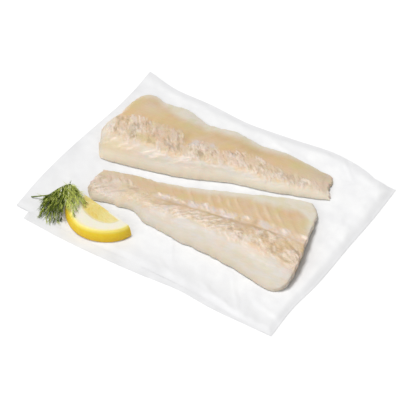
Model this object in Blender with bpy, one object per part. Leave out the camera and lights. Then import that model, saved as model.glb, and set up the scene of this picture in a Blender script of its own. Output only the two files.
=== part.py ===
"""Two skinless cod fillets with a lemon wedge and a sprig of dill, served on a folded sheet of paper.

The origin is the middle of the sheet on the table. +X runs along the long side of the sheet, +Y away
from the lemon and +Z up. Measures are written in millimetres, and MM turns them into metres.
"""

import math
import random

import bmesh
import bpy
import numpy as np
from mathutils import Vector

MM = 0.001
GAP = 0.3  # clearance between things that lie on each other
SEED = 7
SHARP_ANGLE = 28  # degrees between faces that are shaded as an edge

# Paper: a long sheet folded in two, so two layers lie on each other
LOWER_TOP = 0.5  # top of the lower layer
UPPER_THICK = 0.65  # the upper layer reaches a little into the lower one, so the two are one body
SHEET_TOP = 1.0  # where the food lies
SHEET_CRINKLE = 0.9  # height of the soft waves along the sheet's edges
CRINKLE_FROM = 0.93  # the waves begin at this share of the half length or half width
HALF_LENGTH = 141.0
HALF_WIDTH = 112.0
FOLD_CREST = 10.0  # from the crest of the fold to the sheet's end
FOLD_RISE = 10.0  # the upper layer starts to rise this far before the crest
UPPER_COLUMNS = 30
UPPER_ROWS = 15
UPPER_SPREAD = 0.6  # below 1 the columns crowd towards the fold
LOWER_COLUMNS = 15
LOWER_ROWS = 2
LOWER_SET_BACK = 3.0  # the lower layer's far side is hidden this far under the upper one

# (X, Y) along each side of the two layers
UPPER_FAR = [(-133, 105.5), (-107, 101), (-60, 102), (-16, 101), (15, 105), (75, 112), (105, 109.5),
             (129, 103.5), (140, 105)]
UPPER_NEAR = [(-139, -102), (-83, -103), (0, -100), (42, -99), (100, -103), (137, -103)]
LOWER_NEAR = [(-124, -111), (-83, -112), (0, -108), (42, -104), (75, -105.5), (116, -104), (136, -103)]
# (Y, X) along the ends
UPPER_LEFT = [(-103, -139), (-67, -141), (-9, -139), (23, -136), (55, -133), (106, -133)]
UPPER_RIGHT = [(-103, 137), (-64, 136), (-34, 139), (23, 140), (67, 141), (105, 140)]
LOWER_LEFT = [(-111, -124), (0, -131), (98, -129)]
LOWER_RIGHT = [(-103, 135), (0, 137), (98, 136)]
FOLD_HEIGHT = [(-103, 0.0), (-64, 0.8), (-34, 1.8), (39, 3.6), (105, 5.0)]
# Places where the edge of the upper layer curls up: (X, Y), reach and height
EDGE_CURLS = [
    ((-133, 106), 24.0, 2.4),
    ((80, 112), 26.0, 2.6),
    ((-139, -102), 16.0, 1.6),
    ((20, -101), 20.0, 1.0),
]
CURL_STRETCH = 2.0  # a curl is this many times as long along the sheet as across it

# Fillets: s runs from the tail to the head, t from the near edge (0) to the far one (1)
FILLET_BASE = SHEET_TOP + GAP
PITCH = 7.5  # from one flake to the next
CHEVRON_EASE = 0.3  # share of the length over which the chevrons straighten out at each end
CHEVRON_REACH = (20.0, 40.0)  # off the midline, near and far, the chevrons bend back to straight lines
PEAK = 0.36  # where across the fillet it is thickest
MARGIN = 0.14  # thickness at the far edge, as a share of the thickest
NEAR_ROUND = (2.4, 0.55)  # powers that shape the round near side
FAR_FALL = 1.8  # power of the slow fall to the far edge
END_ROUND = 6.0  # the two ends are rounded over this length
LEAST_END = 0.06
LEAST_THICK = 1.0
FLAKE_LIFT = 0.9
FLAKE_CREST = 0.85  # share of the pitch over which a flake rises before its step down
RAGGED_LIFT = 1.8
RAGGED_EDGES = (4.0, 5.0)  # the band of raised flakes fades over these widths
RAGGED_RANGE = (-0.4, 1.0)  # share of the lift that a raised flake may take
GROOVE_WIDTH = 2.6
RELIEF_ENDS = (0.05, 0.04)  # shares of the length over which the relief fades, at the tail and the head
RELIEF_FULL = 6.0  # relief is at its full height where the fillet is at least this thick
END_ROWS = [0, 0.7, 2.2, 5]  # rows of points close to each end
TOP_POINTS = 26
TOP_CROWDING = 0.5  # share by which the points crowd towards the two edges
BASE_POINTS = 8
BASE_INSET = 0.01  # the base keeps this share of the width inside each edge

FRONT = {
    "name": "fillet_front",
    "centre": (8.0, -23.0),
    "turn": 9.5,
    "head": 1,
    "tail_x": -108.0,
    "length": 213.0,
    "midline": -1.0,  # the flakes' chevrons meet here, and point to the head
    "slopes": (1.4, 0.65),  # how far the chevrons fall back for each millimetre off it, near and far
    "ragged": 23.0,  # width of the band of raised flakes on its near side
    "groove": 1.1,
    "near": [(0, -19), (8, -20), (33, -18), (50, -18), (68, -27), (86, -31), (115, -36), (142, -40),
             (168, -46), (190, -52), (213, -53)],
    "far": [(0, 16), (11, 18), (33, 22), (56, 23), (81, 27), (108, 34), (144, 44), (175, 52), (213, 53)],
    "thick": [(0, 5), (30, 8), (60, 10.5), (100, 13.5), (140, 16), (180, 18), (213, 17)],
    "tail_end": [(0, 8), (0.18, 3), (0.55, 1), (0.8, 2), (1, 5)],
    "head_end": [(0, 200), (0.025, 206), (0.1, 211), (0.27, 213), (0.57, 210), (0.88, 207), (0.96, 202),
                 (1, 195)],
}
BACK = {
    "name": "fillet_back",
    "centre": (-18.0, 49.0),
    "turn": 10.0,
    "head": -1,
    "tail_x": 115.0,
    "length": 226.0,
    "midline": 7.0,
    "slopes": (0.5, 0.3),
    "ragged": 28.0,
    "groove": 0.5,
    "near": [(0, -9), (22, -15), (59, -22), (96, -27), (132, -37), (165, -42), (202, -45), (226, -44)],
    "far": [(0, 16), (22, 20), (59, 28), (82, 28), (108, 34), (141, 33), (160, 41), (188, 42), (205, 46),
            (226, 44)],
    "thick": [(0, 6), (40, 9), (80, 11), (130, 14), (180, 16.5), (226, 14)],
    "tail_end": [(0, 4), (0.08, 0), (0.25, 1), (0.42, 7), (0.6, 5.5), (0.9, 9), (1, 13)],
    "head_end": [(0, 213), (0.1, 220), (0.25, 225), (0.5, 225), (0.6, 219), (0.8, 215), (0.9, 209),
                 (1, 202)],
}

# Lemon wedge: cut lengthwise, lying on a cut face with the other one up
LEMON_CENTRE = (-65.7, -69.3)
LEMON_TURN = -9.3
LEMON_THICK = 12.0
LEMON_TOP = (33.5, 30.3, 1.68)  # half length, depth, roundness of the outline
LEMON_FOOT = (37.5, 32.0, 1.87)
LEMON_PITH = 0.25  # width of the pith and zest, as a share of the outline
LEMON_LEVELS = (0, 0.08, 0.3, 0.55, 0.8, 0.95, 1)  # shares of the thickness
LEMON_BULGE = 1.8  # power of the side's curve from foot to rim
LEMON_EDGE = 0.975  # the foot and the rim are drawn in a little, which rounds their edges
LEMON_DISH = (0.1, 0.6)  # the flesh lies this far below the rim, at its own edge and just inside
LEMON_DISH_INSET = 0.95
LEMON_POINTS = 44

# Dill
STEM = [(-132, -87, 5), (-122, -85, 7), (-115, -81, 11), (-109, -76, 16), (-106, -70, 19), (-107, -61, 17)]
STEM_RADIUS = 0.95
STEM_TAPER = 0.6
STEM_SIDES = 6
# Where on the stem each frond leaves it (0 to 1), and where its tip lies
FRONDS = [
    (0.30, (-117, -89, 5)), (0.50, (-113, -95, 3.4)), (0.58, (-109, -99, 5)), (0.66, (-103, -101, 3.4)),
    (0.72, (-97, -102, 3.4)), (0.76, (-91, -101, 4)), (0.80, (-87, -94, 16)), (0.82, (-79, -92, 15.5)),
    (0.84, (-80, -80, 16)), (0.86, (-90, -71, 16)),
]
FROND_TEETH = 9  # thread-like leaflets along each side of a frond
FROND_ARCH = 2.25  # height of a frond's arch over the straight line to its tip
FROND_CLEAR = 1.4  # height of a frond over what it lies on
FROND_SPARE = 4.5  # the lemon is taken this much wider, so that no frond touches its side
RACHIS_WIDTH = 1.3
RACHIS_TAPER = (1.1, 0.7)  # width at the root, and the share of it lost by the tip
THREAD_THICK = 0.9
THREAD_TIP = 0.35  # thickness of a thread's tip, as a share
THREAD_LENGTH = 8.0
THREAD_SPREAD = (0.75, 1.15)  # shortest and longest thread, as shares of the length
THREAD_SWELL = (0.55, 0.75)  # the threads are longest in the middle of a frond
THREAD_AHEAD = (0.7, 1.1)
THREAD_ACROSS = (0.5, 0.9)
THREAD_UP = (-0.3, 0.6)
THREAD_CLEAR = 0.9
THREAD_SPARE = 2.5
THREAD_CUT = 0.3  # a thread that would cross the lemon's edge keeps this share of its length

PAPER = ("paper", (0.93, 0.93, 0.93), 0.55)
FLESH = ("cod_flesh", (0.85, 0.74, 0.61), 0.35)
LEMON = ("lemon", (0.93, 0.78, 0.10), 0.4)
DILL = ("dill", (0.13, 0.24, 0.05), 0.55)


def clear_scene():
    for thing in list(bpy.data.objects):
        bpy.data.objects.remove(thing, do_unlink=True)


def material(name, colour, roughness):
    made = bpy.data.materials.new(name)
    made.use_nodes = True
    shader = made.node_tree.nodes["Principled BSDF"]
    shader.inputs["Base Color"].default_value = (*colour, 1)
    shader.inputs["Roughness"].default_value = roughness
    shader.inputs["Metallic"].default_value = 0.0
    return made


def curve_through(points):
    """A smooth function of one variable through (place, value) pairs, which works on arrays too."""
    place, value = np.array(points, float).T
    slope = np.gradient(value, place)

    def at(x):
        x = np.clip(x, place[0], place[-1])
        i = np.clip(np.searchsorted(place, x, side="right") - 1, 0, len(place) - 2)
        step = place[i + 1] - place[i]
        f = (x - place[i]) / step
        start = (1 + 2 * f) * (1 - f) ** 2 * value[i] + f * (1 - f) ** 2 * step * slope[i]
        return start + f * f * (3 - 2 * f) * value[i + 1] - f * f * (1 - f) * step * slope[i + 1]

    return at


def smooth_step(x):
    x = np.clip(x, 0, 1)
    return x * x * (3 - 2 * x)


def add_object(name, mesh, surface):
    mesh.materials.append(surface)
    made = bpy.data.objects.new(name, mesh)
    bpy.context.scene.collection.objects.link(made)
    return made


def zip_chains(first, second):
    """Triangles between two chains of vertex numbers, both running the same way."""
    faces = []
    i = j = 0
    while i < len(first) - 1 or j < len(second) - 1:
        next_first = (i + 1) / (len(first) - 1)
        next_second = (j + 1) / (len(second) - 1)
        if j == len(second) - 1 or (i < len(first) - 1 and next_first <= next_second):
            faces.append((first[i], first[i + 1], second[j]))
            i += 1
        else:
            faces.append((first[i], second[j + 1], second[j]))
            j += 1
    return faces


def lofted_mesh(name, top, base):
    """A closed mesh from rows of points over the top and, running back, under the base."""
    rings = np.concatenate([top, base], axis=1) * MM
    rows, around = rings.shape[:2]
    faces = []
    for row in range(rows - 1):
        for i in range(around):
            a, b = row * around + i, row * around + (i + 1) % around
            faces.append((a, b, b + around, a + around))
    for row in (0, rows - 1):
        start = row * around
        over = [start + i for i in range(top.shape[1])]
        under = [start + i for i in reversed(range(top.shape[1], around))]
        faces += zip_chains(over, under)
    mesh = bpy.data.meshes.new(name)
    mesh.from_pydata(rings.reshape(-1, 3).tolist(), [], faces)
    return close_mesh(mesh)


def close_mesh(mesh):
    shape = bmesh.new()
    shape.from_mesh(mesh)
    bmesh.ops.triangulate(shape, faces=shape.faces)
    bmesh.ops.recalc_face_normals(shape, faces=shape.faces)
    shape.to_mesh(mesh)
    shape.free()
    mesh.shade_smooth()
    mesh.set_sharp_from_angle(angle=math.radians(SHARP_ANGLE))
    return mesh


# Paper


def fold_lift(x, y, right):
    """Height of the soft fold over the flat sheet: a quick rise, then a round fall at the end."""
    height = curve_through(FOLD_HEIGHT)(y)
    crest = right - FOLD_CREST
    rise = smooth_step((x - crest + FOLD_RISE) / FOLD_RISE)
    fall = np.sqrt(np.clip(1 - ((x - crest) / FOLD_CREST) ** 2, 0, 1))
    return height * np.where(x < crest, rise, fall)


def edge_lift(x, y):
    """Soft waves and curls along the sheet's edges; the food holds its middle flat."""
    outward = np.maximum(np.abs(x) / HALF_LENGTH, np.abs(y) / HALF_WIDTH)
    off_food = smooth_step((outward - CRINKLE_FROM) / (1 - CRINKLE_FROM))
    waves = np.sin(x / 13 + 2 * np.sin(y / 31)) * np.cos(y / 17 + np.sin(x / 23))
    lift = SHEET_CRINKLE * off_food * (1 + waves) / 2
    for (curl_x, curl_y), reach, height in EDGE_CURLS:
        away = np.hypot((x - curl_x) / CURL_STRETCH, y - curl_y) / reach
        lift = lift + height * smooth_step(1 - away)
    return lift


def layer_grid(shares, rows, near, far, left, right):
    """(X, Y) over one layer, whose four sides are given as curves, and X of its right end."""
    u, v = np.meshgrid(shares, np.linspace(0, 1, rows), indexing="ij")
    height = near[0][1] + (far[0][1] - near[0][1]) * v
    start, end = curve_through(left)(height), curve_through(right)(height)
    x = start + (end - start) * u
    y_near, y_far = curve_through(near)(x), curve_through(far)(x)
    return x, y_near + (y_far - y_near) * v, end


def upper_layer():
    """The upper layer of the sheet, with the fold at its right end."""
    shares = np.linspace(0, 1, UPPER_COLUMNS) ** UPPER_SPREAD
    x, y, end = layer_grid(shares, UPPER_ROWS, UPPER_NEAR, UPPER_FAR, UPPER_LEFT, UPPER_RIGHT)
    lift = edge_lift(x, y)
    over = SHEET_TOP + lift + fold_lift(x, y, end)
    under = SHEET_TOP - UPPER_THICK + lift + fold_lift(x, y, end - UPPER_THICK)
    top = np.stack([x, y, over], -1)
    base = np.stack([x, y, under], -1)[:, ::-1]
    return lofted_mesh("upper_layer", top, base)


def lower_layer():
    """The lower layer, which stands out a little past the near edge of the upper one."""
    far = [(x, y - LOWER_SET_BACK) for x, y in UPPER_FAR]
    shares = np.linspace(0, 1, LOWER_COLUMNS)
    x, y, _ = layer_grid(shares, LOWER_ROWS, LOWER_NEAR, far, LOWER_LEFT, LOWER_RIGHT)
    top = np.stack([x, y, np.full_like(x, LOWER_TOP)], -1)
    base = top[:, ::-1].copy()
    base[..., 2] = 0
    return lofted_mesh("lower_layer", top, base)


def paper_sheet():
    sheet = add_object("paper_sheet", upper_layer(), material(*PAPER))
    under = add_object("under_layer", lower_layer(), sheet.data.materials[0])
    fuse(sheet, [under])
    return sheet


def largest_shell(mesh):
    """The mesh without the hollows that fusing seals and without loose scraps."""
    shape = bmesh.new()
    shape.from_mesh(mesh)
    waiting = set(shape.faces)
    shells = []
    while waiting:
        front = [waiting.pop()]
        shell = set(front)
        while front:
            linked = {face for edge in front.pop().edges for face in edge.link_faces} & waiting
            waiting -= linked
            shell |= linked
            front += linked
        shells.append(shell)
    keep = max(shells, key=len)
    bmesh.ops.delete(shape, geom=[face for face in shape.faces if face not in keep], context="FACES")
    shape.to_mesh(mesh)
    shape.free()
    return mesh


def fuse(core, pieces):
    """One Boolean union of the core with all the pieces, which are then removed."""
    group = bpy.data.collections.new(core.name + "_pieces")
    bpy.context.scene.collection.children.link(group)
    for piece in pieces:
        group.objects.link(piece)
    union = core.modifiers.new("union", "BOOLEAN")
    union.operation = "UNION"
    union.operand_type = "COLLECTION"
    union.collection = group
    union.solver = "EXACT"
    union.use_self = True
    bpy.context.view_layer.update()
    joined = bpy.data.meshes.new_from_object(core.evaluated_get(bpy.context.evaluated_depsgraph_get()))
    core.modifiers.remove(union)
    core.data = largest_shell(joined)
    for piece in pieces:
        bpy.data.objects.remove(piece, do_unlink=True)
    bpy.data.collections.remove(group)


# Fillets


def fillet_rows(length):
    """Places of the rows along a fillet, as shares of its length: two to a flake, more at the ends."""
    rows = END_ROWS + [length - row for row in END_ROWS]
    flake = PITCH
    while flake < length - PITCH:
        rows += [flake, flake + FLAKE_CREST * PITCH]
        flake += PITCH
    return np.unique(np.array(rows)) / length


def place_on_fillet(spec, b, t):
    """(s, y) of the point at the share b of the length and the share t of the width."""
    near, far = curve_through(spec["near"]), curve_through(spec["far"])
    tail, head = curve_through(spec["tail_end"]), curve_through(spec["head_end"])
    along = b * spec["length"]
    off = near(along) + (far(along) - near(along)) * t - spec["midline"]
    near_side, far_side = [
        slope * reach * np.tanh(np.abs(off) / reach) for slope, reach in zip(spec["slopes"], CHEVRON_REACH)
    ]
    ease = smooth_step(b / CHEVRON_EASE) * smooth_step((1 - b) / CHEVRON_EASE)
    s = tail(t) + (head(t) - tail(t)) * b - ease * np.where(off < 0, near_side, far_side)
    y = near(s) + (far(s) - near(s)) * t
    return s, y


def body_height(spec, b, s, t):
    """Thickness of the fillet: a steep round near side, a slow fall to the far margin, round ends."""
    thick = curve_through(spec["thick"])(s)
    steep, full = NEAR_ROUND
    rise = (1 - (1 - np.clip(t / PEAK, 0, 1)) ** steep) ** full
    fall = 1 - (1 - MARGIN) * np.clip((t - PEAK) / (1 - PEAK), 0, 1) ** FAR_FALL
    end_distance = np.minimum(b, 1 - b) * spec["length"]
    ends = np.sqrt(1 - (1 - np.clip(end_distance / END_ROUND, LEAST_END, 1)) ** 2)
    return thick * rise * fall * ends


def relief(spec, b, y, chance):
    """Low steps of the flakes, the ragged band beside the midline, and the groove along it."""
    flake = np.round(b * spec["length"] / PITCH, 6) % 1
    step = FLAKE_LIFT * np.minimum(flake / FLAKE_CREST, (1 - flake) / (1 - FLAKE_CREST))
    off = spec["midline"] - y
    inner, outer = RAGGED_EDGES
    band = smooth_step((off + 1) / inner) * smooth_step((spec["ragged"] - off) / outer)
    groove = np.exp(-((off / GROOVE_WIDTH) ** 2))
    tail, head = RELIEF_ENDS
    ends = smooth_step(b / tail) * smooth_step((1 - b) / head)
    return ends * (step + RAGGED_LIFT * band * chance - spec["groove"] * groove)


def fillet_top(spec, rows):
    """Points over the top of a fillet."""
    rng = np.random.default_rng(SEED)
    even = np.linspace(0, 1, TOP_POINTS)
    crowded = (1 - np.cos(math.pi * even)) / 2
    b, t = np.meshgrid(rows, even + TOP_CROWDING * (crowded - even), indexing="ij")
    s, y = place_on_fillet(spec, b, t)
    body = body_height(spec, b, s, t)
    chance = rng.uniform(*RAGGED_RANGE, body.shape)
    z = body + relief(spec, b, y, chance) * np.clip(body / RELIEF_FULL, 0, 1)
    return on_sheet(spec, s, y, FILLET_BASE + np.maximum(z, LEAST_THICK))


def fillet_base(spec, rows):
    """Points over the flat underside, from the far edge back to the near one."""
    across = 0.5 + (0.5 - BASE_INSET) * np.cos(np.linspace(0, math.pi, BASE_POINTS))
    b, t = np.meshgrid(rows, across, indexing="ij")
    s, y = place_on_fillet(spec, b, t)
    return on_sheet(spec, s, y, np.full_like(s, FILLET_BASE))


def fillet(spec, surface):
    rows = fillet_rows(spec["length"])
    mesh = lofted_mesh(spec["name"], fillet_top(spec, rows), fillet_base(spec, rows))
    return add_object(spec["name"], mesh, surface)


def on_sheet(spec, s, y, z):
    """Points of a fillet in the frame of the whole dish."""
    x = spec["tail_x"] + spec["head"] * s
    turn = math.radians(spec["turn"])
    across = spec["centre"][0] + x * math.cos(turn) - y * math.sin(turn)
    away = spec["centre"][1] + x * math.sin(turn) + y * math.cos(turn)
    return np.stack([across, away, z], -1)


# Lemon


def lemon_outline(half_length, depth, power):
    """Points round half of a pointed oval, straight along the cut."""
    angles = np.linspace(0, math.pi, LEMON_POINTS)
    side, down = np.cos(angles), np.sin(angles)
    reach = (np.abs(side) ** power + np.abs(down) ** power) ** (-1 / power)
    return np.stack([half_length * side * reach, -depth * down * reach], -1)


def lemon_levels():
    """Outlines of the wedge and their heights: up its rounded side, then inwards over the cut face."""
    foot, rim = lemon_outline(*LEMON_FOOT), lemon_outline(*LEMON_TOP)
    levels = []
    for share in LEMON_LEVELS:
        outline = rim + (foot - rim) * (1 - share ** LEMON_BULGE)
        if share in (0, 1):
            outline = outline * LEMON_EDGE
        levels.append((outline, share * LEMON_THICK))
    pith = rim * (1 - LEMON_PITH)
    edge, inside = LEMON_DISH
    levels.append((pith, LEMON_THICK - edge))
    levels.append((pith * LEMON_DISH_INSET, LEMON_THICK - inside))
    return levels


def lemon_wedge(surface):
    turn = math.radians(LEMON_TURN)
    rotate = np.array([[math.cos(turn), math.sin(turn)], [-math.sin(turn), math.cos(turn)]])
    levels = lemon_levels()
    mesh = bpy.data.meshes.new("lemon_wedge")
    points, faces = [], []
    for outline, height in levels:
        flat = outline @ rotate + np.array(LEMON_CENTRE)
        points += [(x * MM, y * MM, (SHEET_TOP + GAP + height) * MM) for x, y in flat]
    for level in range(len(levels) - 1):
        for i in range(LEMON_POINTS):
            a = level * LEMON_POINTS + i
            b = level * LEMON_POINTS + (i + 1) % LEMON_POINTS
            faces.append((a, b, b + LEMON_POINTS, a + LEMON_POINTS))
    last = (len(levels) - 1) * LEMON_POINTS
    faces.append(tuple(range(LEMON_POINTS)))
    faces.append(tuple(range(last, last + LEMON_POINTS)))
    mesh.from_pydata(points, [], faces)
    return add_object("lemon_wedge", close_mesh(mesh), surface)


# Dill


def tube(name, path, radius_start, radius_end, sides):
    """A thin closed tube along a path of points."""
    rings = []
    path = [Vector(p) for p in path]
    for i, point in enumerate(path):
        ahead = path[min(i + 1, len(path) - 1)] - path[max(i - 1, 0)]
        ahead.normalize()
        across = ahead.cross(Vector((0.13, 0.21, 0.97))).normalized()
        upward = across.cross(ahead)
        share = i / (len(path) - 1)
        radius = radius_start + (radius_end - radius_start) * share
        for k in range(sides):
            angle = 2 * math.pi * k / sides
            rings.append((point + radius * (math.cos(angle) * across + math.sin(angle) * upward)) * MM)
    faces = []
    for i in range(len(path) - 1):
        for k in range(sides):
            a, b = i * sides + k, i * sides + (k + 1) % sides
            faces.append((a, b, b + sides, a + sides))
    last = (len(path) - 1) * sides
    faces.append(tuple(range(sides)))
    faces.append(tuple(range(last, last + sides)))
    mesh = bpy.data.meshes.new(name)
    mesh.from_pydata([tuple(p) for p in rings], [], faces)
    return close_mesh(mesh)


def in_lemon(x, y, spare):
    """Whether a place is over the lemon's foot, widened by the spare."""
    turn = math.radians(LEMON_TURN)
    side = x - LEMON_CENTRE[0]
    away = y - LEMON_CENTRE[1]
    along = side * math.cos(turn) + away * math.sin(turn)
    depth = side * math.sin(turn) - away * math.cos(turn)
    half_length, reach, power = LEMON_FOOT
    if depth < -spare:
        return False
    return (abs(along) / (half_length + spare)) ** power + (max(depth, 0) / (reach + spare)) ** power < 1


def lifted(point, clear, spare):
    """The point, raised where it would run into the sheet or the lemon."""
    x, y, z = point
    floor = SHEET_TOP + clear
    if in_lemon(x, y, spare):
        floor += LEMON_THICK + GAP
    return Vector((x, y, max(z, floor)))


def along_path(path, share):
    place = share * (len(path) - 1)
    i = min(int(place), len(path) - 2)
    return Vector(path[i]).lerp(Vector(path[i + 1]), place - i)


def frond_path(start, tip):
    """A frond's line: it leaves the stem level and droops to its tip."""
    points = []
    for i in range(FROND_TEETH + 1):
        share = i / FROND_TEETH
        point = start.lerp(Vector(tip), share)
        point.z += FROND_ARCH * 4 * share * (1 - share)
        points.append(lifted(point, FROND_CLEAR, FROND_SPARE))
    return points


def thread_tip(root, ahead, across, share, rng):
    """Tip of one thread, slanting forward from its frond; short where it would run into the lemon."""
    slant = ahead * rng.uniform(*THREAD_AHEAD) + across * rng.uniform(*THREAD_ACROSS)
    slant.z += rng.uniform(*THREAD_UP)
    least, swell = THREAD_SWELL
    size = least + swell * math.sin(math.pi * (0.15 + 0.8 * share))
    end = root + slant.normalized() * THREAD_LENGTH * rng.uniform(*THREAD_SPREAD) * size
    if in_lemon(end.x, end.y, THREAD_SPARE) != in_lemon(root.x, root.y, THREAD_SPARE):
        end = root.lerp(end, THREAD_CUT)
    return lifted(end, THREAD_CLEAR, THREAD_SPARE)


def frond_outline(start, tip, rng):
    """Pairs of points along a frond, left and right: by turns on its strip and at its threads' tips."""
    path = frond_path(start, tip)
    taper, loss = RACHIS_TAPER
    outline = []
    for i, point in enumerate(path):
        share = i / FROND_TEETH
        ahead = (path[min(i + 1, FROND_TEETH)] - path[max(i - 1, 0)]).normalized()
        across = ahead.cross(Vector((0, 0, 1))).normalized()
        width = RACHIS_WIDTH / 2 * (taper - loss * share)
        outline.append((point - across * width, point + across * width))
        if i < FROND_TEETH:
            outline.append([thread_tip(point, ahead, across * side, share, rng) for side in (-1, 1)])
    return outline


def frond_faces(pairs):
    """Faces between the pairs; each pair is four points: left over and under, right over and under."""
    faces = []
    for start in range(0, 4 * (pairs - 1), 8):
        for layer in (start, start + 1):
            left, right, tip_left, tip_right, next_left, next_right = (layer + 2 * i for i in range(6))
            faces += [(left, tip_left, next_left), (right, tip_right, next_right)]
            faces += [(left, next_left, next_right), (left, next_right, right)]
        for a in (start, start + 2, start + 4, start + 6):
            faces.append((a, a + 1, a + 5, a + 4))
    last = 4 * (pairs - 1)
    return faces + [(0, 1, 3, 2), (last, last + 1, last + 3, last + 2)]


def frond(start, tip, rng, surface):
    """A frond as one thin solid: a narrow strip with a row of pointed threads along each side."""
    outline = frond_outline(start, tip, rng)
    half = Vector((0, 0, THREAD_THICK / 2))
    points = []
    for i, pair in enumerate(outline):
        rise = half * THREAD_TIP if i % 2 else half
        for point in pair:
            points += [(point + rise) * MM, (point - rise) * MM]
    faces = frond_faces(len(outline))
    mesh = bpy.data.meshes.new("frond")
    mesh.from_pydata([tuple(p) for p in points], [], faces)
    return add_object("frond", close_mesh(mesh), surface)


def dill_sprig(surface):
    rng = random.Random(SEED)
    stalk = tube("dill_sprig", STEM, STEM_RADIUS, STEM_RADIUS * STEM_TAPER, STEM_SIDES)
    stem = add_object("dill_sprig", stalk, surface)
    fronds = [frond(along_path(STEM, share), tip, rng, surface) for share, tip in FRONDS]
    fuse(stem, fronds)
    return stem


def main():
    clear_scene()
    flesh = material(*FLESH)
    paper_sheet()
    fillet(FRONT, flesh)
    fillet(BACK, flesh)
    lemon_wedge(material(*LEMON))
    dill_sprig(material(*DILL))


main()
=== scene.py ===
"""Skinless cod fillets with a lemon wedge and a sprig of dill on a folded sheet of greaseproof paper.

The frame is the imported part: the origin is the middle of the sheet on the table, +X along its long side,
+Y away from the lemon and +Z up. Measures are in millimetres, and MM turns them into metres. Each piece
takes the place of the part's own solid, with a finer outline and surface.
"""

import math
import random

import bmesh
import bpy
import numpy as np
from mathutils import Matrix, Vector

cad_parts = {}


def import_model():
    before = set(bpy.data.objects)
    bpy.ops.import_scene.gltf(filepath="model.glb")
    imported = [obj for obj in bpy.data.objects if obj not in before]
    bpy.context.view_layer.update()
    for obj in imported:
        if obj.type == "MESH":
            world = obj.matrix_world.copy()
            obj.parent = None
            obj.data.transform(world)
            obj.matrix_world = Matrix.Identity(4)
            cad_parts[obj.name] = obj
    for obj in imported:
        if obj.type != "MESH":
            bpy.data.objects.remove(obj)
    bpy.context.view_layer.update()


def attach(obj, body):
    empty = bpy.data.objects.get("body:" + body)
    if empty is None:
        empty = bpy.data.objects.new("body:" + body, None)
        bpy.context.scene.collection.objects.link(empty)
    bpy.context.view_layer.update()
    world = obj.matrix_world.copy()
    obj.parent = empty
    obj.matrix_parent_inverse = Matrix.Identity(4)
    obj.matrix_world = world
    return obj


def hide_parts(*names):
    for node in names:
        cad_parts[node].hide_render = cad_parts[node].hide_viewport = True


MM = 0.001
CM = 10.0  # materials measure places in centimetres
SEED = 7

# Paper: one long sheet folded in two, with the fold at the right end
SHEET_TOP = 1.0
UPPER_REST = 0.86  # middle of the upper layer where the food presses it down
LOWER_REST = 0.16
PAPER_THICK = 0.14
HALF_LENGTH = 141.0
HALF_WIDTH = 112.0
FOLD_CREST = [(-103, 6.0), (-34, 9.0), (39, 13.0), (105, 15.0)]  # how far the crest lies from the right edge
FOLD_RISE = 11.0
UPPER_FAR = [(-133, 105.5), (-107, 101), (-60, 102), (-16, 101), (15, 105), (75, 112), (105, 109.5),
             (129, 103.5), (140, 105)]
UPPER_NEAR = [(-139, -102), (-83, -103), (0, -100), (42, -99), (100, -103), (137, -103)]
LOWER_NEAR = [(-124, -111), (-83, -112), (0, -108), (42, -104), (75, -105.5), (116, -104), (136, -103)]
UPPER_LEFT = [(-103, -139), (-67, -141), (-9, -139), (23, -136), (55, -133), (106, -133)]
UPPER_RIGHT = [(-103, 137), (-64, 136), (-34, 139), (23, 140), (67, 141), (105, 140)]
LOWER_LEFT = [(-111, -124), (0, -131), (98, -129)]
FOLD_HEIGHT = [(-103, 0.2), (-64, 0.3), (-34, 0.4), (0, 0.7), (39, 1.3), (105, 2.3)]
EDGE_CURLS = [
    ((-133, 106), 24.0, 1.7),
    ((80, 112), 26.0, 1.6),
    ((-139, -102), 16.0, 0.5),
    ((20, -101), 20.0, 0.3),
]
CURL_STRETCH = 2.0
EDGE_GAP = 0.16  # between the middles of the layers along their borders
EDGE_FALL = 9.0
EDGE_GREY = 30.0  # how far from the border the paper looks greyer
FAR_GREY = 2.6  # that band is this many times narrower on the far side and at the fold
PAPER_CREASES = [
    (5, -62, 15, -75, 2.2, 0.3), (-1, -104, 27, -100, 3, 0.3), (54, -86, 100, -100, 3.5, 0.35),
    (73, -66, 96, -93, 3, 0.35), (84, 107, 99, 95, 3, 0.4), (103, -77, 132, -83, 4, 0.35),
    (49, 112, 69, 106, 3, 0.35), (39, -99, 9, -86, 3, 0.3), (-115, -4, -117, 28, 3.5, 0.4),
    (116, 66, 122, 19, 4, 0.4), (-128, 60, -100, 98, 3, 0.4), (20, 92, 60, 88, 4, 0.35),
]
# A greyer patch of painted shade on the left of the sheet: middle, half width, half depth and strength.
PAPER_PAINTED_SHADE = (-108, 20, 24, 50, 1.3)  # middle, half width, half depth and strength of a greyer patch
CREASE_END = 8.0
CREASE_BEND = 0.35
CREASE_SPREAD = (0.6, 1.7)
CREASE_SETS = [(7, 46.0, 0.55, 1.5), (6, 15.0, 0.25, 0.3)]  # number, distance, height, more at the edge
FREE_FROM = 0.62  # share of the way out from which the paper lies free
EDGE_WAVE = 0.75
PRESSED = 0.1  # share of the creases that is left under a weight
CRINKLE_RISE = 1.4
CRINKLE_MIDDLE = 0.35
LOWER_SET_BACK = 3.0  # the lower layer ends this far inside the upper one at the far side and the fold
PAPER_COLUMNS = 230
COLUMN_CROWDING = 0.75
PAPER_ROWS = 140

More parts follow.
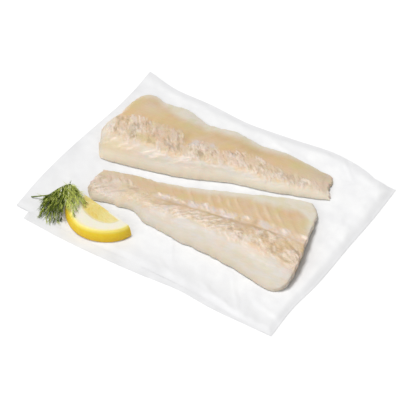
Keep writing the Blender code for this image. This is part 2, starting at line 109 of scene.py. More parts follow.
# Fillets: s runs from the tail to the head, t from the near edge (0) to the far one (1)
FILLET_BASE = 1.12  # the underside, on the paper
FILLET_LIFT = 1.3  # heights over the table are counted from here, as in the part
CHEVRON_EASE = 0.3  # the chevrons straighten over this share of the length
CHEVRON_REACH = (20.0, 40.0)
STRIPE_PITCH = 9.75
STRIPE_REACH = (20.0, 90.0)
PEAK = 0.36  # share of the width at which a fillet is thickest
MARGIN = 0.14  # share of the thickness that is left at the far edge
NEAR_ROUND = (2.4, 0.55)  # how steep and how full the near side is
FAR_FALL = 1.8
# Painted shade: the cut end is painted darker within this many millimetres of it
END_SHADE_REACH = 4.0
LEAN_REACH = 25.0
LEAST_END = 0.06
LEAST_THICK = 1.0
FLAKE_LIFT = 0.22
FLAKE_CREST = 0.8  # share of the way through a flake at which it is highest
STRIPE_PLACE = 0.62
STRIPE_WIDTH = 0.22
TORN_LIFT = 0.9
PLATE_EDGE = 0.34
SMALL_SHRED = (3.4, 1.4)
BEYOND_SHRED = (8.0, 2.6)
STRIP_SOFT = 7.0
GROOVE_WIDTH = 1.7
RIM_SOFT = 16.0
# Painted light: the near side is painted lighter within this reach of its bottom edge.
PAINTED_LIGHT_REACH = 7.5
RELIEF_ENDS = (0.03, 0.015)
RELIEF_FULL = 6.0  # relief is weaker where the fillet is thinner than this
TOP_CROWDING = 0.7  # how much closer the points lie at the two sides
BASE_INSET = 0.01
FAR_WOBBLE = 2.4
END_WOBBLE = 3.4
END_SHARP = 40  # a wobble of the outline fades within a few millimetres of its end or side
SIDE_SHARP = 10
MIDLINE_SOFT = 2.0
LIGHT_FROM = 0.52  # strokes above this are light
DARK_UNDER = 0.46  # strokes under this are dark
STROKE_SOFT = 0.16
STROKE_BEND = 1.5
FLECK_BEND = 0.5
CHANCE_SOFT = 0.08
BORDER_WANDER = 5.0
PART_SOFT = 18.0  # how softly one direction of the torn strokes gives way to the next
SHRED_CONTRAST = 1.3
LINE_WANDER = 1.8
LINE_END = 0.35
GROOVE_OFF = 1.8  # the groove lies this far on the near side of the midline
GROOVE_WANDER = 1.6
GROOVE_PART = (125, 176, 30)  # from where to where along the fish it shows, and how softly it ends
STRIPE_PART = (115, 168, 45)
STRIPE_BAND = (3, 26, 8)  # the same across the fish, on the far side of the midline
ROW_BAND = (0, 6, 3)
BEAD_SHIFT = (2.5, 3.0)
SWELL = 0.5
LIFTS = {  # how far each kind of mark stands up from the flesh
    "crisp": 0.35,
    "groove": -0.6,
    "stripe": 0.2,
    "beads": 0.8,
    "bead_gap": -0.3,
    "tufts": 0.6,
    "tuft_gap": -0.3,
    "painted_gloss": 0.4,
    "streaks": 0.5,
}
FILLET_ROWS = 480
FILLET_POINTS = 168
BASE_POINTS = 8
# Each curve runs over s, apart from tail_end and head_end, which run over t. head is 1 where the head end
# lies to the right. torn and inner bound the torn band, as distances from the midline to the near side.
# A bloom has its middle s and y, half length, half width and strength. A crease or streak has its start, its
# end, its half width and strength. A shred has its slope, its strokes' size, and the s that it starts and
# ends at.
FRONT = {
    "name": "fillet_front",
    "seed": 11,
    "blooms": {
        "tan": [(185, -14, 30, 12, 0.5), (105, -6, 35, 4, 0.25)],
        "yellow": [
            (174, 26, 3, 8, 1.0), (199, 19, 4, 8, 0.8), (41, 19, 4, 4, 0.8), (86, 6, 3, 6, 0.7),
            (62, 2, 3, 3, 0.6), (120, -5, 8, 4, 0.3), (160, -38, 25, 4, 0.2), (32, 4, 3, 3, 0.5),
        ],
        "pink": [(15, 3, 18, 14, 0.5), (55, 3, 10, 8, 0.4), (140, 18, 6, 9, 0.4), (175, -3, 12, 4, 0.3)],
        "clear": [(207, 30, 8, 20, 1.1), (196, 42, 12, 8, 0.5), (211, 16, 4.5, 12, 0.8)],
        "ash": [
            (74, -1, 8, 2.5, 0.6), (102, 1, 6, 4, 0.7), (118, 0, 6, 3, 0.4), (138, -1, 6, 3, 0.9),
            (154, -2, 5, 2.5, 0.8), (172, 1, 5, 3.5, 0.6), (189, -1, 7, 4, 1.0), (205, 0, 5, 2, 0.4),
            (112, 2, 5, 3, 0.7), (131, 1, 5, 3, 0.7), (88, -2, 5, 2, 0.5), (78, -14, 9, 5, 0.8),
            (146, -20, 10, 4, 0.8), (22, -13, 9, 3, 0.7), (20, -6, 12, 6, 0.4),
        ],
        "pearl": [
            (72, 3, 7, 2.4, 1.0), (89, 2, 6, 2.4, 0.6), (103, 3, 5, 3, 0.7), (112, 5, 3.5, 5, 1.0),
            (120, 2, 4, 3, 0.9), (131, 4, 5, 4, 0.6), (140, 3, 4, 3, 0.7), (154, 5, 5, 3.5, 1.0),
            (170, 3, 4, 3, 0.7), (180, 4, 3, 4, 0.6), (190, 3, 5, 4, 0.9), (205, 5, 4.5, 2.8, 1.3),
        ],
        # Brown patches: partly browner flesh, partly painted shade under the beads and along the groove.
        "brown": [
            (146, -5, 34, 3.4, 0.6), (86, -3, 14, 2.5, 0.6), (163, 1, 3, 5, 0.5), (196, -17, 8, 6, 0.3),
            (127, -1, 3, 3, 0.4), (82, -7, 10, 3, 0.35), (105, -11, 14, 3.5, 0.3), (150, -11, 20, 3, 0.25),
            (176, -11, 10, 4, 0.3), (207, -24, 3, 3, 0.4), (40, 1, 8, 2, 0.25), (97, 4, 3, 3, 0.2),
        ],
    },
    "creases": [
        (24, -9, 38, -5, 0.9, 0.7), (39, -1, 47, 2, 1.0, 0.7), (21, -5, 28, -5, 1.3, 0.5),
        (32, 10, 36, 4, 1.0, 0.6), (14, 0, 17, -1, 1.6, 0.4), (34, -8, 35, -12, 0.7, 0.4),
        (60, 0, 64, 3, 1.6, 0.4), (73, -1, 78, -2, 1.2, 0.6), (75, 6, 78, -1, 0.8, 0.7),
        (108, 7, 111.5, 2, 1.0, 0.8), (94, -2, 98, -3, 1.3, 0.7), (82, -1, 92, -1.5, 1.2, 0.5),
        (104, -4.5, 107, -6, 1.0, 0.6), (84, -11.5, 87, -16, 1.3, 0.5), (95, -14, 106, -15.5, 1.0, 0.4),
        (118, 0, 123, -2, 1.0, 0.6), (64, -9, 73, -10, 0.9, 0.4), (133, 1, 136, -3, 0.9, 0.6),
        (147, 2, 150, -2, 0.9, 0.6), (161, 3, 163, -2, 0.9, 0.5), (181, 4, 183, -2, 1.0, 0.5),
    ],
    # Light streaks: partly pale flesh, partly painted highlight where the flesh shines.
    "streaks": [
        (33, 12, 40, 3, 1.2, 0.8), (29, 9, 33, 5, 0.9, 0.5), (24, 9, 29, 4, 1.0, 0.45),
        (42, 5, 46, 2, 1.0, 0.4), (17, 12, 21, 3, 1.0, 0.3), (57, -12, 66, -12, 0.9, 0.8),
        (60, -15.5, 68, -13, 0.8, 0.6), (75, -11, 83, -9, 0.8, 0.7), (81, -12, 84, -17, 1.1, 0.9),
        (77, -13, 80, -16, 0.9, 0.6), (24, -13, 28, -15.5, 0.8, 0.6), (16, -14, 22, -14, 1.0, 0.5),
        (90, -12, 96, -10, 0.7, 0.6), (96, -14, 99, -17, 0.9, 0.6), (104, -9, 109, -7, 0.7, 0.6),
        (107, -12, 113, -10, 0.7, 0.6), (117.4, -14.8, 123.4, -13, 0.8, 0.9),
        (125, -13, 130, -10, 0.7, 0.8), (133, -14.8, 139, -12.6, 0.8, 0.9),
        (149, -15.5, 154, -13.8, 0.8, 0.9), (152, -16.5, 157, -14, 0.7, 0.8),
        (141, -11, 142.5, -16.5, 1.0, 0.8), (137, -18, 140, -23, 1.0, 0.6),
        (142.5, -19, 148.6, -26, 1.1, 0.9), (150, -17, 155.5, -23, 1.3, 0.9),
        (121.7, -18, 125, -21.6, 1.1, 0.7), (175, -15, 179, -21, 1.3, 0.8), (189, -17, 191, -23, 1.2, 0.8),
        (196, -19, 201, -17, 1.3, 0.7), (164, -14, 169, -19, 1.3, 0.5), (205, -18, 210, -22, 1.2, 0.5),
        (66, 5, 70.5, 1.5, 1.3, 1.0), (77, 1, 84, 5, 1.2, 0.6), (82, 3, 86, 0.5, 1.0, 0.8),
        (90, 2, 93, 0, 1.5, 0.6), (99, 6, 101, 2, 0.8, 0.8), (112, 8, 116.5, 2.5, 1.1, 0.9),
        (93.5, -12.5, 95, -16.5, 1.0, 0.8), (95, -17, 101, -17, 1.0, 0.7), (101, -17, 107, -14, 0.9, 0.7),
        (104, 2, 107, 0, 1.0, 0.5), (153, 6, 157, 3, 1.1, 0.7), (188, 4, 193, 2, 1.2, 0.7),
        (203, 6, 208, 4, 1.4, 0.9),
    ],
    "end_face_shade": 0.35,
    "lean": 0.4,
    "warm_edge": 0.3,
    "end_rounds": (5.0, 3.0),
    "near_wobble": 3.0,
    "centre": (8.0, -23.0),
    "turn": 9.5,
    "head": 1,
    "tail_x": -108.0,
    "length": 213.0,
    "midline": -1.0,
    "slopes": (1.4, 0.65),
    "stripe_slopes": (1.4, 0.66),
    "stripes": 1.0,
    "groove": 1.2,
    "torn": [
        (0, 17), (30, 15), (50, 13), (60, 13), (90, 14.5), (110, 15), (125, 18), (140, 21), (165, 24),
        (190, 28), (213, 32),
    ],
    "inner": [(0, -13), (35, -11), (50, -5), (60, 0), (80, 2), (213, 2)],
    "shreds": [(0.6, (7.0, 2.0), -40, 40), (0.45, (9.0, 2.1), 60, 140), (-1.3, (7.0, 2.4), 150, 162),
               (-0.8, (6.0, 3.6), 172, 260)],
    "beyond_slope": -1.3,
    "row": 0.6,
    "white": 0.58,
    "low": 0.25,
    "frayed": 0.22,
    "fringe_slope": -1.3,
    "rim": [
        (0, 0), (50, 1), (80, 5), (100, 8), (125, 10), (150, 14), (175, 19), (190, 22), (202, 27), (213, 30),
    ],
    "strokes": 0.2,
    "stroke_slope": -0.4,
    "near": [
        (0, -19), (8, -20), (33, -18), (50, -18), (68, -27), (86, -31), (115, -36), (142, -40), (168, -46),
        (190, -52), (213, -54),
    ],
    "far": [
        (0, 16), (11, 18), (33, 22), (56, 23), (81, 27), (108, 34), (144, 44), (175, 52.3), (192, 55),
        (213, 55),
    ],
    "thick": [(0, 5), (30, 8), (60, 10.5), (100, 13.5), (140, 16), (172, 17.5), (196, 16), (213, 13)],
    "tail_end": [(0, 8), (0.18, 3), (0.55, 1), (0.8, 2), (1, 5)],
    "head_end": [
        (0, 204), (0.025, 209.5), (0.06, 212.5), (0.17, 212.8), (0.36, 211.6), (0.57, 209), (0.75, 208),
        (0.88, 206), (0.94, 202), (1, 197),
    ],
}
BACK = {
    "name": "fillet_back",
    "seed": 23,
    "blooms": {
        "tan": [
            (84, 12, 13, 7, 0.5), (112, 14, 16, 8, 0.2), (145, -3, 5, 10, 0.4), (196, 2, 22, 14, 0.6),
            (172, -16, 16, 10, 0.5), (202, -36, 22, 9, 0.5),
        ],
        "yellow": [
            (42, 14, 14, 8, 0.8), (150, 14, 22, 7, 0.7), (209, 27, 6, 15, 0.7), (205, -34, 16, 8, 0.5),
            (182, -19, 8, 4, 0.8), (194, -14, 5, 7, 0.6), (97, 20, 10, 5, 0.5),
        ],
        "pink": [
            (68, 5, 10, 6, 0.5), (10, 8, 10, 14, 0.5), (85, -8, 12, 6, 0.4), (105, -10, 9, 6, 0.5),
            (168, -10, 8, 9, 0.5),
        ],
        "ash": [
            (121, -2, 6, 6, 0.8), (136, -4, 5, 6, 1.0), (156, -5, 5, 8, 0.6), (170, -4, 4, 8, 0.6),
            (128, -21, 8, 3, 0.6), (190, -27, 8, 3, 0.6), (62, -10, 6, 4, 0.4),
        ],
        # Brown patches: partly browner flesh, partly painted shade between the torn flecks.
        "brown": [
            (84, 13, 12, 6, 0.3), (112, 14, 15, 6, 0.15), (66, -5, 6, 4, 0.2), (130, -6, 2.5, 9, 0.35),
            (147, -4, 3, 10, 0.4), (176, -6, 3, 8, 0.35), (186, -20, 5, 4, 0.3), (200, -12, 9, 5, 0.3),
            (16, 12, 4, 4, 0.2), (165, 5, 12, 4, 0.15), (169, -14, 14, 9, 0.22),
        ],
        "clear": [
            (220, -15, 6, 16, 0.6), (192, 22, 12, 9, 0.35), (218, 14, 4, 10, 0.5), (209, 40, 8, 6, 0.7),
            (3, 10, 4, 9, 0.3),
        ],
    },
    "creases": [
        (181, -12, 186, 4, 1.4, 0.4), (194, -15, 201, 0, 1.6, 0.4), (204, -12, 208, 2, 1.2, 0.3),
        (10, -2, 14, 14, 1.0, 0.3),
    ],
    # Light streaks: partly pale flesh, partly painted highlight where the flesh shines.
    "streaks": [
        (155, -28, 166, -32, 1.1, 0.9), (166, -27, 176, -33.5, 1.4, 0.9), (161, -32, 169, -36, 1.0, 0.7),
        (193, -29.5, 201.5, -33.5, 1.3, 0.9), (206, -26.5, 210, -32, 1.3, 0.8),
        (126, -19, 141.6, -27, 1.1, 0.7), (131, -24, 143, -29, 0.9, 0.5),
        (115, -17, 118.5, -20.5, 1.1, 0.6), (187, -32, 192, -36, 1.1, 0.7), (97, -19, 110, -22, 0.9, 0.4),
        (212, -4, 215, 4, 1.0, 0.5), (214, -16, 218, -4, 1.0, 0.5), (196, 2, 198, 8, 0.9, 0.6),
        (189, 2, 191, 8, 0.9, 0.5),
    ],
    "end_face_shade": 0.0,
    "lean": 0.0,
    "warm_edge": 0.6,
    "end_rounds": (1.6, 8.0),
    "near_wobble": 1.6,
    "centre": (-18.0, 49.0),
    "turn": 10.0,
    "head": -1,
    "tail_x": 115.0,
    "length": 226.0,
    "midline": 7.0,
    "slopes": (0.5, 0.3),
    "stripe_slopes": (0.5, 0.35),
    "stripes": 0.25,
    "groove": 0.0,
    "torn": [
        (0, 15), (30, 18.5), (56, 21), (95, 23), (115, 26), (132, 30), (150, 33), (165, 32), (190, 34),
        (207, 33), (226, 28),
    ],
    "inner": [
        (0, 8), (25, 6), (38, 3), (45, 7), (53, 4), (63, 4), (80, 1), (104, 4), (112, 10), (119, 4),
        (132, 5), (139, 8), (145, 17), (150, 6), (166, 3), (185, 2), (198, 1), (213, 4), (226, 4),
    ],
    "shreds": [(1.2, (5.5, 2.5), -40, 112), (1.9, (12.0, 4.2), 132, 300)],
    "beyond_slope": -1.3,
    "row": 0.0,
    "white": 0.6,
    "low": 0.62,
    "frayed": 0.3,
    "fringe_slope": -0.7,
    "rim": [
        (0, 0), (30, 1), (50, 3), (80, 6), (110, 9), (143, 12), (153, 18), (168, 18), (180, 9), (192, 4),
        (226, 3),
    ],
    "strokes": 0.5,
    "stroke_slope": -0.4,
    "near": [(0, -9), (22, -15), (59, -22), (96, -27), (132, -37), (165, -42), (202, -45), (226, -44)],
    "far": [
        (0, 16), (13, 19.3), (22, 20.5), (59, 28), (82, 28), (108, 34), (141, 33), (160, 41), (188, 42.5),
        (203, 48), (226, 46),
    ],
    "thick": [(0, 3.8), (14, 6.6), (40, 9), (80, 11), (130, 14), (180, 16.5), (226, 14)],
    "tail_end": [(0, 0.5), (0.1, 0.8), (0.22, 2), (0.38, 5), (0.5, 6), (0.7, 5.5), (0.9, 7), (1, 9)],
    "head_end": [
        (0, 214), (0.04, 218.5), (0.1, 220.5), (0.25, 225), (0.45, 224), (0.52, 220.5), (0.6, 218),
        (0.7, 218), (0.78, 216.8), (0.86, 214.5), (0.93, 212), (0.97, 208), (1, 202),
    ],
}

# Lemon wedge
LEMON_CENTRE = (-66.6, -69.15)
LEMON_TURN = -9.3
LEMON_THICK = 12.0
LEMON_TOP = (34.6, 30.3, 1.68)  # half length, depth, roundness of the outline
LEMON_FOOT = (37.0, 32.0, 1.87)
LEMON_BULGE = 1.8
LEMON_POINTS = 260
LEMON_SIDE = 26
LEMON_FACE = 64
LEMON_FLESH = (21.5, 15.2, 2.1, 1.4)  # the same for the flesh, and how far right its middle lies
LEMON_EDGE = 0.02
LEMON_SACS = 20
PALE_EDGE = 1.4  # the cut line is pale this far in, on its right half
PALE_FADE = 12.0
PALE_ZONE = 0.8
PALE_RIGHT = 1.4  # how much paler the flesh is at its right end
SEGMENTS = 4
LEMON_LIFT = 0.3  # the foot lies this far above the sheet
LEMON_TUCK = 0.07
RIND_ROUND = 0.12
RIND_DROP = 0.7
RIND_DENT = 0.12
FLESH_DIP = 0.45
FLESH_WAVE = 0.03
FLESH_SINK = 0.5
SIDE_HEIGHT = LEMON_THICK - RIND_DROP
CORE_REACH = 0.995
SAC_CROWDING = 0.62
SAC_ROWS = 3.4
SAC_RISE = 0.14
MEMBRANE_RISE = 0.12
MEMBRANE_PLACE = (0.93, 0.05)
WALL_SKIN = 0.15

# Dill
STEM = [(-132.5, -87.5, 2.6), (-125.3, -84.5, 5), (-116.8, -81.4, 9), (-111.8, -75, 14), (-107, -70, 17.5),
        (-103.4, -66.9, 18.5)]
STEM_RADIUS = 0.7
FRONDS = [  # where on the stem each frond leaves it, and where its tip lies
    (0.4, (-118, -88.5, 4)), (0.46, (-115, -95.5, 3)), (0.52, (-112.5, -101, 2.6)),
    (0.56, (-106.5, -101.5, 2.6)), (0.62, (-101.5, -103, 2.6)), (0.68, (-97.5, -102, 2.6)),
    (0.76, (-94.5, -99, 2.8)), (0.8, (-93, -96, 4)), (0.84, (-93.6, -93, 7)), (0.7, (-106, -92, 6)),
    (0.6, (-110, -93, 5)), (0.52, (-109, -88, 8)), (0.64, (-103, -91, 10)), (0.76, (-97.5, -89, 15)),
    (0.84, (-92.5, -87, 17)), (0.88, (-87.5, -91, 16.5)), (0.9, (-80.7, -93, 15.5)),
    (0.93, (-83, -86, 16)), (0.96, (-85, -81, 17)), (0.98, (-80, -78.5, 16)), (1.0, (-81, -75.5, 16.5)),
    (1.0, (-92, -73, 18)), (0.82, (-100, -80, 18)),
]
SPIKE = (-105.3, -62.8, 18.5)
FROND_ARCH = 2.25
NODES = 10  # places along a frond where needles leave it
NEEDLES = 3  # at each of them
LOW_NEEDLES = 4  # at each of them on the fronds whose tips hang low
LOW_TIP = 8.5
NODE_SHIFT = 0.4  # the first place lies this share of a step from the frond's root
AHEAD = 0.1
NEEDLE_LENGTH = 9.6
NEEDLE_SPREAD = (0.06, 0.52)
NEEDLE_RISE = (-0.25, 0.35)
NEEDLE_TAPER = (1.1, 0.6)  # share of the length at a frond's root, and how much of it is lost by the tip
FORKS = (0.35, 0.65)
TWIG_RISE = (-0.3, 0.35)
TWIG_TAPER = (1.1, 0.4)
THREAD_RADIUS = 0.25
THREAD_BEND = 0.18
THREAD_DROOP = 0.1
THREAD_CLEAR = 0.5
THREAD_SPARE = 1.5
THREAD_CUT = 0.35
RIB_CLEAR = 1.2
TUBE_TAPER = 0.7
CROWN_THREADS = 9
CROWN_WAY = [(-0.9, 0.6), (-0.5, 0.3), (-0.2, 0.4)]  # least and most, along x, y and z
CROWN_PART = (0.78, 1.0)  # the crown's threads leave this part of the stem
CROWN_LENGTH = (3, 6)
# Painted light: the crown's threads are painted lit.
CROWN_SHADE = (0.6, 1.0)
NEARLY_UP = (0.13, 0.21, 0.97)  # no thread runs quite along this
# Painted shade: a thread buried under others is painted darker.
DILL_CELL = 2.2  # a thread is darker the deeper it lies under the top one of its cell
DEPTH_SHADE = 0.085
LEAST_LIT = 0.1
SHADE_SPREAD = 1.25
# Painted light: the fronds over the lemon are painted lighter.
RIGHT_LIT = 0.5  # the fronds over the lemon catch more light
RIGHT_FROM = -89.0
LEMON_CLEAR = 14.3  # a thread above this height passes over the lemon
DILL_CEILING = 24.9
DILL_FLOOR = 1.5
RIB_STEPS = 12
RIB_THIN = 0.5
RIB_SPARE = 4.0
RIB_SHADE = (0.1, 0.3)
STALK_STEPS = 24
STALK_SHADE = 0.25
THREAD_PLACES = (0.0, 0.35, 0.7, 1.0)
TWIG_THIN = 0.85
FROND_LIT = (-0.15, 0.2)
LENGTH_SPREAD = (0.35, 1.25)
TWIG_SPREAD = 0.55
TWIG_REACH = (0.4, 0.65)
TWIG_SHADE = 0.2
SPIKE_BENDS = (-0.12, 0.0, 0.15)
SPIKE_SHADE = 0.2
TUBE_SIDES = 4

# Camera: the photo's place and view
VIEW_ANGLE = 9.0
SENSOR = 36.0
AZIMUTH = 33.45
ELEVATION = 48.13
DISTANCE = 2323.0
AIM = (2.0, 1.0, 0.0)
AIM_SHIFT = (-0.0192725, -0.002835)

FLOOR_SIDE = 9000.0
SHARP_ANGLE = math.radians(75)
JOIN_WITHIN = 1e-7


# Colours and light


def srgb(red, green, blue):
    """A colour given as 0 to 255 on a screen, as the linear values that a shader takes."""
    shares = np.array([red, green, blue]) / 255
    linear = np.where(shares <= 0.04045, shares / 12.92, ((shares + 0.055) / 1.055) ** 2.4)
    return (*linear.tolist(), 1.0)


PAPER_EDGE = srgb(221, 221, 222)
PAPER_LOW = srgb(227, 227, 228)
PAPER_CLOUD = srgb(229, 229, 230)
PAPER_HIGH = srgb(236, 236, 236)
FLESH_PALE = srgb(204, 198, 184)
FLESH_CREAM = srgb(202, 197, 176)
FLESH_ROSE = srgb(212, 194, 181)
FLESH_LILAC = srgb(206, 200, 198)
FLESH_TAN = srgb(213, 180, 142)
FLESH_AMBER = srgb(214, 185, 137)
FLESH_YELLOW = srgb(208, 196, 138)
FLESH_PINK = srgb(220, 190, 172)
FLESH_CLEAR = srgb(226, 223, 212)
FLESH_STRIPE = srgb(228, 206, 178)
# Pale flesh, also used for painted highlights: glints on the torn flecks, the gloss strokes and the light
# streaks.
FLESH_FLECK_AND_GLINT = srgb(243, 227, 211)
FLESH_ASH = srgb(214, 204, 202)
# Painted shade: the dark brown of gaps, the groove, creases and the shaded cut end; it also paints browner
# patches of flesh.
FLESH_SHADE_BROWN = srgb(168, 145, 117)
FLESH_FIBRE = srgb(225, 212, 196)
# Painted light: lightens the fillets' near sides, which the lamps leave darker.
FLESH_PAINTED_LIGHT = srgb(230, 220, 200)
LEMON_PULP_LOW = srgb(220, 202, 116)
LEMON_PULP_HIGH = srgb(226, 216, 158)
LEMON_PULP_DEEP = srgb(218, 184, 70)
LEMON_SKIN = srgb(232, 222, 166)
LEMON_PITH_LOW = srgb(228, 226, 200)
LEMON_PITH_HIGH = srgb(232, 224, 212)
LEMON_ZEST_LOW = srgb(230, 186, 4)
LEMON_ZEST_HIGH = srgb(238, 210, 26)
LEMON_ZEST_DEEP = srgb(232, 176, 6)
LEMON_ZEST_RIM = srgb(240, 228, 130)
# The dill's colours paint light and shade: deep green for shaded threads, light and yellow green for lit
# ones, over their own varied green.
DILL_DEEP = srgb(38, 56, 6)
DILL_LIGHT = srgb(118, 138, 22)
DILL_YELLOW = srgb(220, 228, 124)
DILL_TIP = srgb(150, 165, 78)
FLOOR_COLOUR = srgb(248, 248, 248)

ROOM_COLOUR = (1, 1, 1, 1)
ROOM_LIGHT = 0.31
LAMPS = {  # where each lamp is, how many degrees across it looks from the food, and its power
    "key": ((-0.78, -0.04, 3.0), 17.0, 1.9),
    "fill": ((-0.1, -1.0, 1.0), 60.0, 1.1),
}


# Curves and noise


def curve_through(points):
    """A smooth function of one variable through (place, value) pairs, which works on arrays too."""
    place, value = np.array(points, float).T
    slope = np.gradient(value, place)

    def at(x):
        x = np.clip(x, place[0], place[-1])
        i = np.clip(np.searchsorted(place, x, side="right") - 1, 0, len(place) - 2)
        step = place[i + 1] - place[i]
        f = (x - place[i]) / step
        start = (1 + 2 * f) * (1 - f) ** 2 * value[i] + f * (1 - f) ** 2 * step * slope[i]
        return start + f * f * (3 - 2 * f) * value[i + 1] - f * f * (1 - f) * step * slope[i + 1]

    return at


def smooth_step(x):
    x = np.clip(x, 0, 1)
    return x * x * (3 - 2 * x)


def rising(x, start, width):
    """0 up to the start, rising softly to 1 over the width."""
    return smooth_step((x - start) / width)


def at_least(low, share):
    """A share from 0 to 1, squeezed into low to 1."""
    return low + (1 - low) * share


def bloom(x, y=0.0):
    """1 in the middle, fading round it."""
    return np.exp(-(x ** 2 + y ** 2))


def between(x, low, high, soft):
    """1 where x lies between low and high, falling to 0 over the soft width outside."""
    return smooth_step((x - low) / soft + 1) * smooth_step((high - x) / soft + 1)


def beside_line(x, y, line):
    """How far each place lies along the line and off it, and the line's length."""
    start_x, start_y, end_x, end_y = line
    along_x, along_y = end_x - start_x, end_y - start_y
    length = math.hypot(along_x, along_y)
    along = ((x - start_x) * along_x + (y - start_y) * along_y) / length
    off = ((x - start_x) * along_y - (y - start_y) * along_x) / length
    return along, off, length


def chance_at(i, j, seed):
    """A fixed random share for each whole-number place."""
    mixed = (i.astype(np.int64) * 374761393 + j.astype(np.int64) * 668265263 + seed * 974634777) & 0xFFFFFFFF
    mixed = ((mixed ^ (mixed >> 13)) * 1274126177) & 0xFFFFFFFF
    return ((mixed ^ (mixed >> 16)) & 0xFFFFFF) / 0xFFFFFF


def noise(x, y, seed):
    """Smooth noise from 0 to 1 whose grain is 1 across."""
    x, y = np.broadcast_arrays(np.asarray(x, float), np.asarray(y, float))
    i, j = np.floor(x), np.floor(y)
    across, up = smooth_step(x - i), smooth_step(y - j)
    low = chance_at(i, j, seed) * (1 - across) + chance_at(i + 1, j, seed) * across
    high = chance_at(i, j + 1, seed) * (1 - across) + chance_at(i + 1, j + 1, seed) * across
    return low * (1 - up) + high * up


def rough_noise(x, y, seed, layers=3):
    """Noise with finer noise on it."""
    total, size = 0.0, 0.0
    for layer in range(layers):
        share = 0.5 ** layer
        total = total + share * noise(x * 2 ** layer, y * 2 ** layer, seed + layer)
        size += share
    return total / size


def chips(x, y, seed):
    """Scattered cells about 1 across: each cell's own two chances, and the distance to its border."""
    i, j = np.floor(x), np.floor(y)
    nearest = np.full(x.shape, 9.0)
    second = np.full(x.shape, 9.0)
    first, other = np.zeros(x.shape), np.zeros(x.shape)
    for across in (-1, 0, 1):
        for up in (-1, 0, 1):
            cell_i, cell_j = i + across, j + up
            off_x = x - cell_i - chance_at(cell_i, cell_j, seed)
            off_y = y - cell_j - chance_at(cell_i, cell_j, seed + 1)
            away = off_x ** 2 + off_y ** 2
            closer = away < nearest
            second = np.where(closer, nearest, np.minimum(second, away))
            nearest = np.where(closer, away, nearest)
            first = np.where(closer, chance_at(cell_i, cell_j, seed + 2), first)
            other = np.where(closer, chance_at(cell_i, cell_j, seed + 3), other)
    return first, other, np.sqrt(second) - np.sqrt(nearest)


# Meshes


def grid_faces(rows, columns, wrap=False):
    """Quads between neighbouring rows of points; wrap joins each row's last point to its first."""
    steps = columns if wrap else columns - 1
    row, column = np.meshgrid(np.arange(rows - 1), np.arange(steps), indexing="ij")
    a = row * columns + column
    b = row * columns + (column + 1) % columns
    return np.stack([a, b, b + columns, a + columns], -1).reshape(-1, 4).tolist()


def zip_chains(first, second):
    """Triangles between two chains of vertex numbers, both running the same way."""
    faces = []
    i = j = 0
    while i < len(first) - 1 or j < len(second) - 1:
        next_first = (i + 1) / (len(first) - 1)
        next_second = (j + 1) / (len(second) - 1)
        if j == len(second) - 1 or (i < len(first) - 1 and next_first <= next_second):
            faces.append((first[i], first[i + 1], second[j]))
            i += 1
        else:
            faces.append((first[i], second[j + 1], second[j]))
            j += 1
    return faces


def add_piece(name, points, faces, looks, shares=None):
    """A smooth mesh object from points in millimetres. shares holds named values for its material."""
    mesh = bpy.data.meshes.new(name)
    points = np.asarray(points, float).reshape(-1, 3)
    mesh.from_pydata((points * MM).tolist(), [], faces)
    for key, values in (shares or {}).items():
        values = np.asarray(values, float)
        if values.ndim == 2:
            made = mesh.attributes.new(key, "FLOAT_VECTOR", "POINT")
            made.data.foreach_set("vector", values.ravel())
        else:
            made = mesh.attributes.new(key, "FLOAT", "POINT")
            made.data.foreach_set("value", values)
    mesh.shade_smooth()
    mesh.materials.append(looks)
    piece = bpy.data.objects.new(name, mesh)
    bpy.context.scene.collection.objects.link(piece)
    return piece


def close_skin(mesh):
    """Joins the edges of neighbouring grids, turns every face outwards and keeps sharp corners sharp."""
    shape = bmesh.new()
    shape.from_mesh(mesh)
    bmesh.ops.remove_doubles(shape, verts=shape.verts, dist=JOIN_WITHIN)
    bmesh.ops.recalc_face_normals(shape, faces=shape.faces)
    shape.to_mesh(mesh)
    shape.free()
    mesh.set_sharp_from_angle(angle=SHARP_ANGLE)


# Materials


